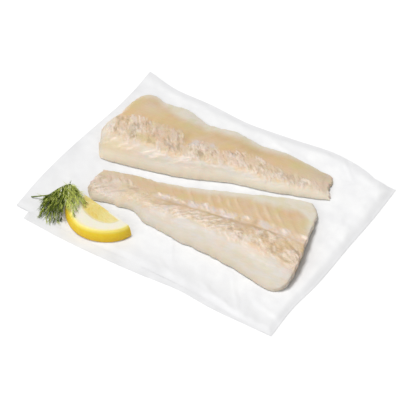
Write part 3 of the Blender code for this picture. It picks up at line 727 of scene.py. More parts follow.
class Looks:
    """A material's node tree and its Principled shader, with short ways to add nodes."""

    def __init__(self, name, roughness, specular):
        self.material = bpy.data.materials.new(name)
        self.material.use_nodes = True
        self.tree = self.material.node_tree
        self.shader = self.tree.nodes["Principled BSDF"]
        self.shader.inputs["Roughness"].default_value = roughness
        self.shader.inputs["Specular IOR Level"].default_value = specular

    def put(self, socket, value):
        """Links an output to the socket, or sets the socket to a value."""
        if isinstance(value, bpy.types.NodeSocket):
            self.tree.links.new(value, socket)
        else:
            socket.default_value = value

    def node(self, kind, inputs, **settings):
        made = self.tree.nodes.new(kind)
        for key, value in settings.items():
            setattr(made, key, value)
        for key, value in inputs.items():
            self.put(made.inputs[key], value)
        return made

    def share(self, name):
        """A named value of the mesh."""
        return self.node("ShaderNodeAttribute", {}, attribute_name=name).outputs["Fac"]

    def place(self, name, scale):
        """A named place of the mesh, stretched by the scale."""
        place = self.node("ShaderNodeAttribute", {}, attribute_name=name).outputs["Vector"]
        return self.node("ShaderNodeMapping", {"Vector": place, "Scale": scale}).outputs["Vector"]

    def grain(self, place, scale, detail=3.0, low=0.3, high=0.7):
        """Noise from 0 to 1, with its contrast raised between low and high."""
        inputs = {"Vector": place, "Scale": scale, "Detail": detail}
        made = self.node("ShaderNodeTexNoise", inputs).outputs["Fac"]
        return self.span(made, low, high, 0.0, 1.0)

    def span(self, value, low, high, to_low, to_high):
        inputs = {"Value": value, "From Min": low, "From Max": high, "To Min": to_low, "To Max": to_high}
        return self.node("ShaderNodeMapRange", inputs).outputs["Result"]

    def times(self, first, second):
        return self.node("ShaderNodeMath", {0: first, 1: second}, operation="MULTIPLY").outputs[0]

    def part(self, name, most):
        """A named value of the mesh, made weaker."""
        return self.times(self.share(name), most)

    def mix(self, share, first, second, blend="MIX"):
        made = self.node("ShaderNodeMix", {0: share, 6: first, 7: second}, data_type="RGBA", blend_type=blend)
        return made.outputs[2]

    def layered(self, colour, layers):
        """The colour with further colours over it, each by its share."""
        for share, over in layers:
            colour = self.mix(share, colour, over)
        return colour

    def bump(self, height, distance, normal=None):
        inputs = {"Height": height, "Distance": distance * MM, "Strength": 1.0}
        if normal is not None:
            inputs["Normal"] = normal
        return self.node("ShaderNodeBump", inputs).outputs["Normal"]

    def finish(self, **sockets):
        """Sets the shader's sockets, named in lower case with underscores."""
        for key, value in sockets.items():
            self.put(self.shader.inputs[key.replace("_", " ").title()], value)
        return self.material


# Paper


def fold_lift(x, y, right):
    """Height of the soft fold over the flat sheet: a quick rise, then a round fall at the end."""
    height = curve_through(FOLD_HEIGHT)(y)
    crest_width = curve_through(FOLD_CREST)(y)
    crest = right - crest_width
    rise = smooth_step((x - crest + FOLD_RISE) / FOLD_RISE)
    fall = 1 - smooth_step((x - crest) / crest_width)
    return height * np.where(x < crest, rise, fall)


def edge_curls(x, y):
    lift = 0.0
    for (curl_x, curl_y), reach, height in EDGE_CURLS:
        away = np.hypot((x - curl_x) / CURL_STRETCH, y - curl_y) / reach
        lift = lift + height * smooth_step(1 - away)
    return lift


def creases(x, y, seed, count, spacing):
    """Flat facets that meet in sharp low creases: saw-shaped waves in several directions, from 0 to 1."""
    rng = random.Random(seed)
    total = 0.0
    for _ in range(count):
        angle = rng.uniform(0, math.pi)
        length = spacing * rng.uniform(*CREASE_SPREAD)
        shift = rng.uniform(0, 1)
        bend = CREASE_BEND * noise(x / spacing + shift * 9, y / spacing, seed)
        place = (x * math.cos(angle) + y * math.sin(angle)) / length + shift + bend
        wave = np.abs(place % 1 - 0.5) * 2
        total = total + wave * noise(x / (2 * spacing) + shift * 31, y / (2 * spacing), seed + 1)
    return total / count


def crinkles(x, y, seed):
    """Height of the paper's creases and waves: low where the food presses on it, higher along its edges."""
    outward = np.maximum(np.abs(x) / HALF_LENGTH, np.abs(y) / HALF_WIDTH)
    free = rising(outward, FREE_FROM, 1 - FREE_FROM)
    height = EDGE_WAVE * free * rough_noise(x / 40, y / 34, seed + 6, 2)
    for number, (count, spacing, flat, edge) in enumerate(CREASE_SETS):
        height = height + (flat + edge * free) * creases(x, y, seed + 3 * number, count, spacing)
    return height


def folded_lines(x, y):
    """The creases that show most, each a low ridge with a soft side."""
    height = 0.0
    for *line, half_width, rise in PAPER_CREASES:
        along, off, length = beside_line(x, y, line)
        off = off + 2 * noise(along / 9, 0.2, 71) - 1
        ridge = np.clip(1 - np.abs(off) / half_width, 0, 1)
        height = height + rise * ridge * between(along, 0, length, CREASE_END)
    return height


def lower_layer(level, right):
    """Columns of points over the lower layer, from the left edge to the fold, and their distances from the
    sheet's border."""
    left = curve_through(LOWER_LEFT)(level)
    near, far = curve_through(LOWER_NEAR), curve_through([(x, y - LOWER_SET_BACK) for x, y in UPPER_FAR])
    columns, borders = [], []
    for u in np.linspace(0, 1, PAPER_COLUMNS // 3):
        x = left + (right - LOWER_SET_BACK - left) * u
        y = near(x) + (far(x) - near(x)) * np.linspace(0, 1, PAPER_ROWS)
        z = LOWER_REST + PRESSED * crinkles(x, y, 31)
        columns.append(np.stack([x, y, z], -1))
        borders.append(np.minimum(x - left, y - near(x)))
    return columns, borders


def upper_layer(level, right):
    """The same over the upper layer, from the fold back to the left edge."""
    left = curve_through(UPPER_LEFT)(level)
    near, far = curve_through(UPPER_NEAR), curve_through(UPPER_FAR)
    columns, borders = [], []
    for u in np.linspace(1, 0, PAPER_COLUMNS) ** COLUMN_CROWDING:
        x = left + (right - left) * u
        y = near(x) + (far(x) - near(x)) * np.linspace(0, 1, PAPER_ROWS)
        inside = np.minimum(x - left, y - near(x))
        wave = crinkles(x, y, 41)
        loose = smooth_step(np.minimum.reduce([inside, far(x) - y, right - x]) / EDGE_FALL)
        rest = LOWER_REST + EDGE_GAP + (UPPER_REST - LOWER_REST - EDGE_GAP) * loose
        crumple = CRINKLE_RISE * (wave - CRINKLE_MIDDLE) + folded_lines(x, y)
        z = rest + edge_curls(x, y) + fold_lift(x, y, right) + loose * crumple
        z = np.maximum(z, LOWER_REST + EDGE_GAP + PRESSED * wave)
        columns.append(np.stack([x, y, z], -1))
        borders.append(np.minimum(inside, FAR_GREY * np.minimum(far(x) - y, right - x)))
    return columns, borders


def paper_points():
    """Rows of points over the lower layer, round the fold and back over the upper one, and how far each lies
    from the sheet's border."""
    level = np.linspace(UPPER_NEAR[0][1], UPPER_FAR[0][1], PAPER_ROWS)
    right = curve_through(UPPER_RIGHT)(level)
    lower, lower_borders = lower_layer(level, right)
    upper, upper_borders = upper_layer(level, right)
    return np.array(lower + upper), np.array(lower_borders + upper_borders)


def paper_looks():
    """Near-white paper, greyer towards its border and in a patch of painted shade, with soft clouds."""
    looks = Looks("greaseproof_paper", 0.42, 0.35)
    place = looks.place("place", (1.0, 1.0, 1.0))
    cloudy = looks.grain(place, 0.55, 3.0, 0.35, 0.65)
    inner = looks.mix(cloudy, PAPER_HIGH, PAPER_CLOUD)
    outer = looks.mix(cloudy, PAPER_EDGE, PAPER_LOW)
    colour = looks.mix(looks.share("edge"), inner, outer)
    fibres = looks.grain(place, 60.0, 5.0)
    rumple = looks.grain(place, 0.6, 1.0, 0.2, 0.8)
    bump = looks.bump(rumple, 0.8, looks.bump(fibres, 0.004))
    rough = looks.span(cloudy, 0.0, 1.0, 0.38, 0.52)
    return looks.finish(base_color=colour, normal=bump, roughness=rough)


def give_thickness(sheet):
    """Turns the sheet's single surface into thin paper with two sides."""
    thickness = sheet.modifiers.new("thickness", "SOLIDIFY")
    thickness.thickness = PAPER_THICK * MM
    thickness.offset = 0.0
    bpy.context.view_layer.update()
    solid = bpy.data.meshes.new_from_object(sheet.evaluated_get(bpy.context.evaluated_depsgraph_get()))
    solid.set_sharp_from_angle(angle=SHARP_ANGLE)
    sheet.modifiers.remove(thickness)
    sheet.data = solid


def paper_sheet():
    points, borders = paper_points()
    columns, rows = points.shape[:2]
    places = points.reshape(-1, 3) / CM
    wavy = EDGE_GREY * (0.6 + 0.8 * rough_noise(places[:, 0] / 3, places[:, 1] / 3, 61))
    # Painted shade: the greyer patch joins the grey of the border.
    patch_x, patch_y, half_width, half_depth, strength = PAPER_PAINTED_SHADE
    patch = strength * bloom((points[..., 0] - patch_x) / half_width, (points[..., 1] - patch_y) / half_depth)
    edge = np.maximum(smooth_step(1 - borders.ravel() / wavy), np.clip(patch.ravel(), 0, 1))
    shares = {"place": places, "edge": edge}
    sheet = add_piece("folded_paper", points, grid_faces(columns, rows), paper_looks(), shares)
    give_thickness(sheet)
    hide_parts("paper_sheet")
    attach(sheet, "root")


# Fillets


def chevron(off, slopes, reaches):
    """How far the chevron lines sweep back at a distance off the midline, above 0 on the near side."""
    near_side, far_side = [
        slope * reach * np.tanh(np.abs(off) / reach) for slope, reach in zip(slopes, reaches)
    ]
    return np.where(off > 0, near_side, far_side)


def place_on_fillet(spec, b, t):
    """(s, y) of the point at the share b of the length and the share t of the width."""
    near, far, tail, head = [curve_through(spec[key]) for key in ("near", "far", "tail_end", "head_end")]
    along = b * spec["length"]
    off = spec["midline"] - near(along) - (far(along) - near(along)) * t
    ease = smooth_step(b / CHEVRON_EASE) * smooth_step((1 - b) / CHEVRON_EASE)
    s = tail(t) + (head(t) - tail(t)) * b - ease * chevron(off, spec["slopes"], CHEVRON_REACH)
    ragged_end = (1 - np.minimum(b, 1 - b)) ** END_SHARP
    s = s + END_WOBBLE * ragged_end * (rough_noise(t * 22, b * 2, spec["seed"] + 70) - 0.5)
    y = near(s) + (far(s) - near(s)) * t
    near_wobble = (1 - t) ** SIDE_SHARP * (rough_noise(s / 9, 0.5, spec["seed"] + 71, 2) - 0.5)
    far_wobble = t ** SIDE_SHARP * (rough_noise(s / 7, 0.5, spec["seed"] + 72) - 0.5)
    return s, y + spec["near_wobble"] * near_wobble + FAR_WOBBLE * far_wobble


def body_height(spec, b, s, t):
    """Thickness of the fillet: a steep round near side, a slow fall to the far margin, round ends."""
    thick = curve_through(spec["thick"])(s)
    steep, full = NEAR_ROUND
    rise = (1 - (1 - np.clip(t / PEAK, 0, 1)) ** steep) ** full
    fall = 1 - (1 - MARGIN) * np.clip((t - PEAK) / (1 - PEAK), 0, 1) ** FAR_FALL
    ends = 1.0
    for away, end_round in zip((b, 1 - b), spec["end_rounds"]):
        share = np.clip(away * spec["length"] / end_round, LEAST_END, 1)
        ends = ends * np.sqrt(1 - (1 - share) ** 2)
    return thick * rise * fall * ends


def overhang(spec, b, z):
    """How far the upper edge of the cut end leans out over the underside."""
    near_end = smooth_step(1 - (1 - b) * spec["length"] / LEAN_REACH)
    return spec["lean"] * near_end * (z - FILLET_BASE)


def on_sheet(spec, s, y, z):
    """Points of a fillet in the frame of the whole dish."""
    x = spec["tail_x"] + spec["head"] * s
    turn = math.radians(spec["turn"])
    across = spec["centre"][0] + x * math.cos(turn) - y * math.sin(turn)
    away = spec["centre"][1] + x * math.sin(turn) + y * math.cos(turn)
    return np.stack([across, away, z], -1)


def turned(s, y, slope):
    """The place measured along and across a line that climbs by the slope."""
    run = math.hypot(1, slope)
    return (s + slope * y) / run, (y - slope * s) / run


def light_part(value):
    return rising(value, LIGHT_FROM, STROKE_SOFT)


def dark_part(value):
    return smooth_step((DARK_UNDER - value) / STROKE_SOFT)


def close_to(away, reach, start):
    """How close an edge is, from 0 to 1. A higher start reaches 1 farther from the edge."""
    return smooth_step(start - away / reach)


class Surface:
    """The upper side of one fillet at each place of its grid: s along it, y across it, b the share of its
    length, and off the distance from the midline, which is above 0 on the near side."""

    def __init__(self, spec, b, s, y):
        self.spec, self.b, self.s, self.y = spec, b, s, y
        self.off = spec["midline"] - y
        self.below = smooth_step(self.off / MIDLINE_SOFT)
        self.blotch = self.clouds(11, 9, seed=40)
        self.patch = rising(self.clouds(12, 9, seed=41), 0.34, 0.28)
        self.step, self.depth, self.light = self.flakes()
        self.torn = self.shreds()
        self.border = self.curve("torn") + BORDER_WANDER * (self.wave(5.5, row=0.3, seed=8) - 0.5)
        self.strip = self.ragged_edge(self.off - self.border, shift=5, soft=STRIP_SOFT, start=0.5)
        band = self.ragged_edge(self.off - self.curve("inner"), shift=9, soft=6, start=0.3)
        band = band * self.ragged_edge(self.border - self.off, shift=7, soft=5, start=0.3)
        self.shredded = band * at_least(0.55, self.patch)

    def curve(self, key):
        return curve_through(self.spec[key])(self.s)

    def clouds(self, length, width, seed, layers=3):
        """Soft noise whose grain has this length and width."""
        return rough_noise(self.s / length, self.y / width, self.spec["seed"] + seed, layers)

    def wave(self, length, row, seed):
        """Noise that changes along the fish alone."""
        return noise(self.s / length, row, self.spec["seed"] + seed)

    def strokes(self, slope, size, seed):
        """Soft strokes from 0 to 1, with their length and width, whose long sides climb by the slope."""
        along, across = turned(self.s, self.y, slope)
        bend = STROKE_BEND * (self.clouds(9, 9, seed + 50, 2) - 0.5)
        return rough_noise(along / size[0] + bend, across / size[1] + bend, self.spec["seed"] + seed, 2)

    def flecks(self, slope, size, seed, chance):
        """Crisp torn flecks from 0 to 1: the share of them given by the chance."""
        along, across = turned(self.s, self.y, slope)
        bend = FLECK_BEND * (self.clouds(5, 5, seed + 50, 2) - 0.5)
        first, other, edge = chips(along / size[0] + bend, across / size[1] + bend, self.spec["seed"] + seed)
        chosen = smooth_step((chance - first) / CHANCE_SOFT + 0.5)
        return chosen * smooth_step(edge / PLATE_EDGE) * at_least(0.4, other)

    def ragged_edge(self, inside, shift, soft, start):
        """1 well inside an edge that the torn strokes shift to and fro."""
        return smooth_step((inside + shift * (self.torn - 0.5)) / soft + start)

    def blooms(self, kind, shift_s=0.0, shift_y=0.0):
        """The soft patches of one kind: each has a middle, a half length, a half width and a strength."""
        total = np.zeros_like(self.s)
        for middle_s, middle_y, half_length, half_width, strength in self.spec["blooms"].get(kind, []):
            away_s, away_y = self.s + shift_s - middle_s, self.y + shift_y - middle_y
            total = total + strength * bloom(away_s / half_length, away_y / half_width)
        return total

    def lines(self, kind):
        """The few creases or streaks that show one by one: each runs from one place to another, with a half
        width and a strength."""
        total = np.zeros_like(self.s)
        for *line, half_width, strength in self.spec[kind]:
            along, off, length = beside_line(self.s, self.y, line)
            off = off + LINE_WANDER * (noise(along / 5 + line[0], 0.3, self.spec["seed"] + 90) - 0.5)
            soft = LINE_END * length
            ends = smooth_step(along / soft + 0.5) * smooth_step((length - along) / soft + 0.5)
            total = total + strength * bloom(off / half_width) * ends
        return np.clip(total, 0, 1)

    def flakes(self):
        """The muscle flakes: the rise of each to its crest, how deep it shows, and the light line on it."""
        drift = 9.0 * (self.clouds(36, 26, seed=0) - 0.5)
        drift = drift + 1.3 * (noise(self.s / 5.1, self.y / 4.3, self.spec["seed"] + 5) - 0.5)
        swept = chevron(self.off, self.spec["stripe_slopes"], STRIPE_REACH)
        place = (self.s + swept + drift) / STRIPE_PITCH
        share, number = place % 1, np.floor(place)
        strength = noise(number * 3.7, self.y / 9, self.spec["seed"] + 7)
        step = np.minimum(share / FLAKE_CREST, (1 - share) / (1 - FLAKE_CREST))
        return step, at_least(0.15, rising(strength, 0.2, 0.6)), bloom((share - STRIPE_PLACE) / STRIPE_WIDTH)

    def shreds(self):
        """Torn flesh: coarse and fine strokes in the directions of each part, from 0 to 1. Where there is a
        groove, the strokes beyond it lean another way."""
        total, weight = np.zeros_like(self.s), np.zeros_like(self.s)
        for number, (slope, size, start, end) in enumerate(self.spec["shreds"]):
            here = between(self.s, start, end, PART_SOFT)
            seed = 12 + 100 * number
            mixed = 0.6 * self.strokes(slope, size, seed) + 0.4 * self.strokes(slope, SMALL_SHRED, seed + 16)
            total = total + here * (0.5 + SHRED_CONTRAST * (mixed - 0.5))
            weight = weight + here
        beyond = self.strokes(self.spec["beyond_slope"], BEYOND_SHRED, seed=60)
        below = self.below if self.spec["groove"] else 1.0
        return beyond + (total / np.maximum(weight, 0.001) - beyond) * below

    def torn_parts(self):
        """The crisp flecks, which are partly painted highlight, and the dark gaps of the torn band, which are
        painted shade.
        """
        slope = self.spec["shreds"][-1][0]
        crisp = self.flecks(slope, size=(5.0, 1.9), seed=24, chance=0.12 + 0.22 * self.patch)
        brown = dark_part(self.torn) * (1.2 - 0.3 * self.patch) * at_least(0.6, rising(self.s, 50, 60))
        return {"crisp": self.shredded * crisp, "torn_gap": self.shredded * brown}

    def fringe(self):
        """Light tufts, and dark gaps of painted shade, along the near border of the torn band."""
        slope = self.spec["fringe_slope"]
        fringe = self.spec["frayed"] * bloom((self.off - self.border + 1) / 5.0) * rising(self.s, 45, 25)
        hair = self.strokes(slope, size=(7.0, 2.2), seed=28)
        tuft = self.flecks(slope, size=(6.5, 2.0), seed=30, chance=0.32)
        tufted = fringe * at_least(0.25, rising(self.wave(9, row=0.4, seed=48), 0.3, 0.3))
        tufts = tufted * np.maximum(0.35 * light_part(hair), tuft)
        return {"fringe": fringe, "tufts": tufts, "tuft_gap": fringe * dark_part(hair)}

    def painted_gloss_strokes(self):
        """Strokes of painted gloss: near-white highlights on the smooth near side, just under the torn band.
        """
        slope, under = self.spec["stroke_slope"], self.off - self.border
        lower = self.spec["strokes"] * rising(under, -3, 3) * (1 - rising(under, 7, 7))
        painted_gloss = self.flecks(slope, size=(11.0, 2.3), seed=32, chance=0.14 + 0.26 * self.patch)
        soft = self.strokes(slope, size=(14.0, 2.5), seed=34)
        return {"painted_gloss": lower * np.maximum(painted_gloss, 0.4 * light_part(soft))}

    def beads(self):
        """The pale beads of flesh along the midline, split by dark gaps of painted shade."""
        shift_s, shift_y = BEAD_SHIFT
        pearl = self.blooms("pearl", shift_s * (self.blotch - 0.5), shift_y * (self.torn - 0.5))
        wedge = self.strokes(slope=-1.3, size=(6.0, 2.6), seed=37)
        beads = np.clip(pearl * (0.65 + 0.6 * light_part(wedge)), 0, 1)
        return {"beads": beads, "bead_gap": np.clip(pearl * dark_part(wedge), 0, 1)}

    def ashen(self):
        """Greyer flesh: a row beyond the midline, strokes in the torn band, and the patches. Along the front
        fillet's beads this lilac-grey is partly painted shade under them.
        """
        row = self.spec["row"] * between(-self.off, *ROW_BAND) * rising(self.s, 50, 25)
        row = row * at_least(0.15, light_part(self.strokes(slope=-1.1, size=(5.0, 3.0), seed=49)))
        flaps = light_part(self.strokes(slope=0.9, size=(9.0, 4.5), seed=51))
        grain = light_part(self.strokes(slope=-0.9, size=(4.0, 2.0), seed=47))
        patches = self.blooms("ash") * at_least(0.45, grain)
        return {"ash": row + 0.4 * self.shredded * flaps + patches}

    # The groove is lowered and also painted darker, as painted shade in it.
    def groove(self):
        wander = GROOVE_WANDER * (self.wave(9, row=0.1, seed=42) - 0.5)
        groove = bloom((self.off - wander - GROOVE_OFF) / GROOVE_WIDTH) * between(self.s, *GROOVE_PART)
        broken = at_least(0.25, rising(self.wave(7, row=0.9, seed=43), 0.2, 0.5))
        return {"groove": groove * self.spec["groove"] * broken}

    def rim_and_stripes(self):
        """The clear far rim, and the light lines of the flakes that fade out towards it."""
        width = self.curve("rim") * (0.75 + 0.5 * self.wave(9, row=0.2, seed=35))
        width = width + 1.5 * self.spec["stripes"] * self.depth * (self.light - 0.3)
        rim = smooth_step((self.y - self.curve("far") + width) / RIM_SOFT + 0.5) * smooth_step(width)
        rim = np.clip(rim + self.blooms("clear"), 0, 1)
        stripe = self.spec["stripes"] * (1 - self.below) * self.depth * self.light
        stripe = stripe * at_least(0.15, between(self.s, *STRIPE_PART)) * between(-self.off, *STRIPE_BAND)
        return {"rim": rim, "stripe": stripe * (1 - smooth_step(1.8 * rim))}

    def found(self):
        """All that shows, by name, as shares from 0 to 1."""
        parts = {"streaks": self.lines("streaks")}
        for part in (self.torn_parts, self.fringe, self.painted_gloss_strokes, self.beads, self.ashen, self.groove,
                     self.rim_and_stripes):
            parts.update(part())
        return parts

    def height(self, found):
        """What the flakes and tears add to the fillet's body."""
        tail, head = RELIEF_ENDS
        ends = smooth_step(self.b / tail) * smooth_step((1 - self.b) / head)
        calm = (1 - 0.8 * self.strip) * (1 - 0.7 * found["rim"]) * (1 - self.shredded)
        height = FLAKE_LIFT * self.step * self.depth * calm + TORN_LIFT * self.shredded * self.torn
        height = height + sum(lift * found[kind] for kind, lift in LIFTS.items())
        return ends * height + SWELL * self.strip * (self.clouds(22, 7, seed=33) - 0.5)

    def colours(self, found):
        """The shares of each colour, for the material."""
        spec, strip, shredded = self.spec, self.strip, self.shredded
        away = self.y - self.curve("near")
        tan = (1 - 0.97 * strip) * at_least(0.35, rising(self.s, 5, 55)) * (0.66 + 0.5 * self.blotch)
        warm_edge = spec["warm_edge"] * close_to(away, 3, 1.2) * rising(self.s, 70, 50)
        yellow = 0.4 * (1 - strip) * rising(self.clouds(9, 9, seed=45), 0.5, 0.2)
        pink = 0.45 * rising(self.clouds(8, 6, seed=44), 0.45, 0.25)
        rosy = light_part(self.strokes(slope=0.6, size=(8.0, 4.0), seed=26))
        # Partly pale shreds, partly painted highlight: the light torn strokes are painted near-white as wet
        # glints.
        white = shredded * spec["white"] * light_part(self.torn) * at_least(0.3, self.patch)
        # Painted shade: the cut end, which faces away from the light, is painted darker brown
        cut = spec["end_face_shade"] * close_to((1 - self.b) * spec["length"], END_SHADE_REACH, 1.3)
        shares = {
            "tan": (1 - 0.5 * shredded) * (tan + self.blooms("tan")) + 0.6 * warm_edge,
            "rim": found["rim"],
            "yellow": yellow + self.blooms("yellow"),
            "pink": pink + 0.7 * shredded * rosy + self.blooms("pink"),
            # Pale flecks, beads and tufts, with painted highlights in the white flecks, the gloss strokes and
            # the streaks.
            "fleck_and_glint": np.maximum(white, 0.7 * found["crisp"]) + found["beads"] + found["tufts"]
            + 0.8 * found["painted_gloss"] + 0.65 * found["streaks"],
            "stripe": found["stripe"],
            "ash": found["ash"],
            # Painted shade in the torn gaps, the groove, the bead and tuft gaps, the cut end and the creases,
            # with the brown patches, which are partly browner flesh and partly painted shade.
            "painted_shade_and_brown": np.maximum.reduce([
                found["torn_gap"], 0.7 * found["groove"], 0.9 * found["bead_gap"],
                0.5 * found["tuft_gap"], cut, self.lines("creases"), self.blooms("brown")]),
            "ragged": np.maximum(shredded, 0.5 * found["fringe"]),
            "strip": strip,
            # Painted light: the near side is painted lighter towards its bottom edge, where the lamps leave
            # it darker.
            "low": spec["low"] * close_to(away, PAINTED_LIGHT_REACH, 1.15),
        }
        return {key: np.clip(share, 0, 1) for key, share in shares.items()}


def fillet_looks():
    """Moist flesh: pale, tan and translucent parts, with fibres that run along the fish, painted highlights
    on flecks and strokes, painted shade in gaps and creases, and painted light on the near sides.
    """
    looks = Looks("cod_flesh", 0.42, 0.36)
    place = looks.place("fish", (1.0, 1.0, 1.0))
    fibres = looks.grain(looks.place("fish", (0.22, 1.6, 1.0)), 6.0, 2.0)
    clouds = looks.grain(place, 1.3, 3.0)
    mottle = looks.grain(looks.place("fish", (0.5, 1.2, 1.0)), 2.6, 4.0, 0.4, 0.66)
    lilac = looks.grain(looks.place("fish", (0.45, 1.5, 1.0)), 1.7, 3.0, 0.42, 0.62)
    crumbs = looks.times(looks.grain(place, 16.0, 3.0, 0.5, 0.68), looks.share("ragged"))
    # Painted shade: dark gaps between the crumbs of the torn band.
    gaps = looks.times(looks.grain(place, 13.0, 3.0, 0.56, 0.72), looks.share("ragged"))
    colour = looks.layered(looks.mix(clouds, FLESH_PALE, FLESH_CREAM), [
        (looks.times(mottle, 0.4), FLESH_ROSE),
        (looks.times(looks.times(lilac, looks.share("strip")), 0.7), FLESH_LILAC),
        (looks.share("tan"), looks.mix(clouds, FLESH_TAN, FLESH_AMBER)),
        (looks.part("pink", 0.6), FLESH_PINK),
        (looks.part("stripe", 0.68), FLESH_STRIPE),
        (looks.part("rim", 0.8), FLESH_CLEAR),
        (looks.part("yellow", 0.6), FLESH_YELLOW),
        (looks.times(crumbs, 0.42), FLESH_FLECK_AND_GLINT),
        (looks.part("painted_shade_and_brown", 0.78), FLESH_SHADE_BROWN),
        (looks.part("fleck_and_glint", 0.92), FLESH_FLECK_AND_GLINT),
        (looks.part("ash", 0.75), FLESH_ASH),
        (looks.times(gaps, 0.48), FLESH_SHADE_BROWN),
    ])
    colour = looks.mix(looks.times(fibres, 0.12), colour, FLESH_FIBRE, "MULTIPLY")
    colour = looks.mix(looks.share("low"), colour, FLESH_PAINTED_LIGHT)
    bump = looks.bump(fibres, 0.08, looks.bump(looks.grain(place, 12.0, 1.0), 0.02, looks.bump(crumbs, 0.12)))
    rough = looks.span(clouds, 0.0, 1.0, 0.34, 0.5)
    return looks.finish(
        base_color=colour, normal=bump, roughness=rough, subsurface_weight=0.12, subsurface_scale=2.0 * MM
    )


def with_base(top, base):
    """The rows of the upper side, each carried on by its row of the underside."""
    return np.concatenate([top, base], axis=1)


def fillet(spec, looks):
    """One fillet: a fine grid over its top, closed by a flat underside."""
    even = np.linspace(0, 1, FILLET_POINTS)
    crowded = (1 - np.cos(math.pi * even)) / 2
    rows = np.linspace(0, 1, FILLET_ROWS)
    b, t = np.meshgrid(rows, even + TOP_CROWDING * (crowded - even), indexing="ij")
    s, y = place_on_fillet(spec, b, t)
    surface = Surface(spec, b, s, y)
    found = surface.found()
    body = body_height(spec, b, s, t)
    z = body + surface.height(found) * np.clip(body / RELIEF_FULL, 0, 1)
    z = FILLET_LIFT + np.maximum(z, LEAST_THICK)
    top = on_sheet(spec, s + overhang(spec, b, z), y, z)
    across = 0.5 + (0.5 - BASE_INSET) * np.cos(np.linspace(0, math.pi, BASE_POINTS))
    base_b, base_t = np.meshgrid(rows, across, indexing="ij")
    base_s, base_y = place_on_fillet(spec, base_b, base_t)
    rings = with_base(top, on_sheet(spec, base_s, base_y, np.full_like(base_s, FILLET_BASE)))

    count, around = rings.shape[:2]
    faces = grid_faces(count, around, wrap=True)
    for start in (0, (count - 1) * around):
        over = [start + i for i in range(FILLET_POINTS)]
        under = [start + i for i in reversed(range(FILLET_POINTS, around))]
        faces += zip_chains(over, under)
    empty = np.zeros_like(base_s)
    values = {key: with_base(share, empty).ravel() for key, share in surface.colours(found).items()}
    fish = with_base(np.stack([s, y, z], -1), np.stack([base_s, base_y, empty], -1))
    values["fish"] = fish.reshape(-1, 3) / CM
    piece = add_piece(spec["name"] + "_flesh", rings, faces, looks, values)
    close_skin(piece.data)
    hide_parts(spec["name"])
    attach(piece, "root")


# Lemon


def lemon_outline(half_length, depth, power, centre=0.0):
    """Points round half of a pointed oval, straight along the cut."""
    angles = np.linspace(0, math.pi, LEMON_POINTS)
    side, down = np.cos(angles), np.sin(angles)
    reach = (np.abs(side) ** power + np.abs(down) ** power) ** (-1 / power)
    return np.stack([centre + half_length * side * reach, -depth * down * reach], -1)


def rind_rows(flesh, angle):
    """Rows over the cut rind and pith, from the rim to the flesh: places, heights and values."""
    rim = lemon_outline(*LEMON_TOP)
    rows = []
    for share in np.linspace(0, 1, LEMON_FACE // 3, endpoint=False):
        edge = 1 - smooth_step(share / RIND_ROUND)
        place = rim * (1 - LEMON_EDGE * edge) + (flesh - rim) * share
        dent = RIND_DENT * rough_noise(angle * 30, share * 5, 52)
        height = LEMON_THICK - RIND_DROP * edge ** 2 - dent - FLESH_DIP * rising(share, 0.9, 0.1)
        rows.append((place, height, share, np.zeros_like(angle), np.zeros_like(angle)))
    return rows


def flesh_rows(flesh, centre, angle):
    """Rows over the cut flesh, from the pith to the middle: the domes of its sacs between thin membranes."""
    wall = np.abs((angle * SEGMENTS + 0.5) % 1 - 0.5) * 2
    membrane = rising(wall, *MEMBRANE_PLACE)
    rows = []
    for share in np.linspace(0, 1, LEMON_FACE):
        place = centre + (flesh - centre) * (1 - CORE_REACH * share)
        sacs = angle * LEMON_SACS * (1 - SAC_CROWDING * share) + 7
        cell, shade, edge = chips(sacs, np.full_like(angle, share * SAC_ROWS), 53)
        dome = smooth_step(edge / 0.5)
        bulge = SAC_RISE * dome * at_least(0.4, cell) * (1 - membrane) + MEMBRANE_RISE * membrane
        skin = np.maximum(membrane, 1 - dome) + PALE_RIGHT * smooth_step(place[:, 0] / LEMON_FLESH[0])
        rows.append((place, LEMON_THICK - FLESH_SINK + bulge, 1.0 + share, shade * dome, skin))
    return rows


def lemon_face():
    """Rows of points over the upper cut face, from the rim inwards."""
    angle = np.linspace(0, 1, LEMON_POINTS)
    wavy = 1 + FLESH_WAVE * (noise(angle * 9, 0.5, 51) - 0.5)
    centre = np.array([LEMON_FLESH[3], 0.0])
    flesh = centre + (lemon_outline(*LEMON_FLESH) - centre) * wavy[:, None]
    return rind_rows(flesh, angle) + flesh_rows(flesh, centre, angle)


def paled(place, zone):
    """The zone, taken back to pith along the right half of the cut line."""
    near_cut = smooth_step(place[:, 1] / PALE_EDGE + 1.5)
    pale = near_cut * smooth_step(place[:, 0] / PALE_FADE)
    return zone + min(PALE_ZONE - zone, 0) * pale


def lemon_side():
    """Rows of points down the rounded outer side, from the rim to the foot."""
    foot, rim = lemon_outline(*LEMON_FOOT), lemon_outline(*LEMON_TOP)
    rows = []
    for level in np.linspace(1, 0, LEMON_SIDE):
        outline = rim + (foot - rim) * (1 - level ** LEMON_BULGE)
        tucked = smooth_step(1 - level / LEMON_TUCK) + rising(level, 1 - LEMON_TUCK, LEMON_TUCK)
        rows.append((outline * (1 - LEMON_EDGE * tucked), level * SIDE_HEIGHT))
    return rows


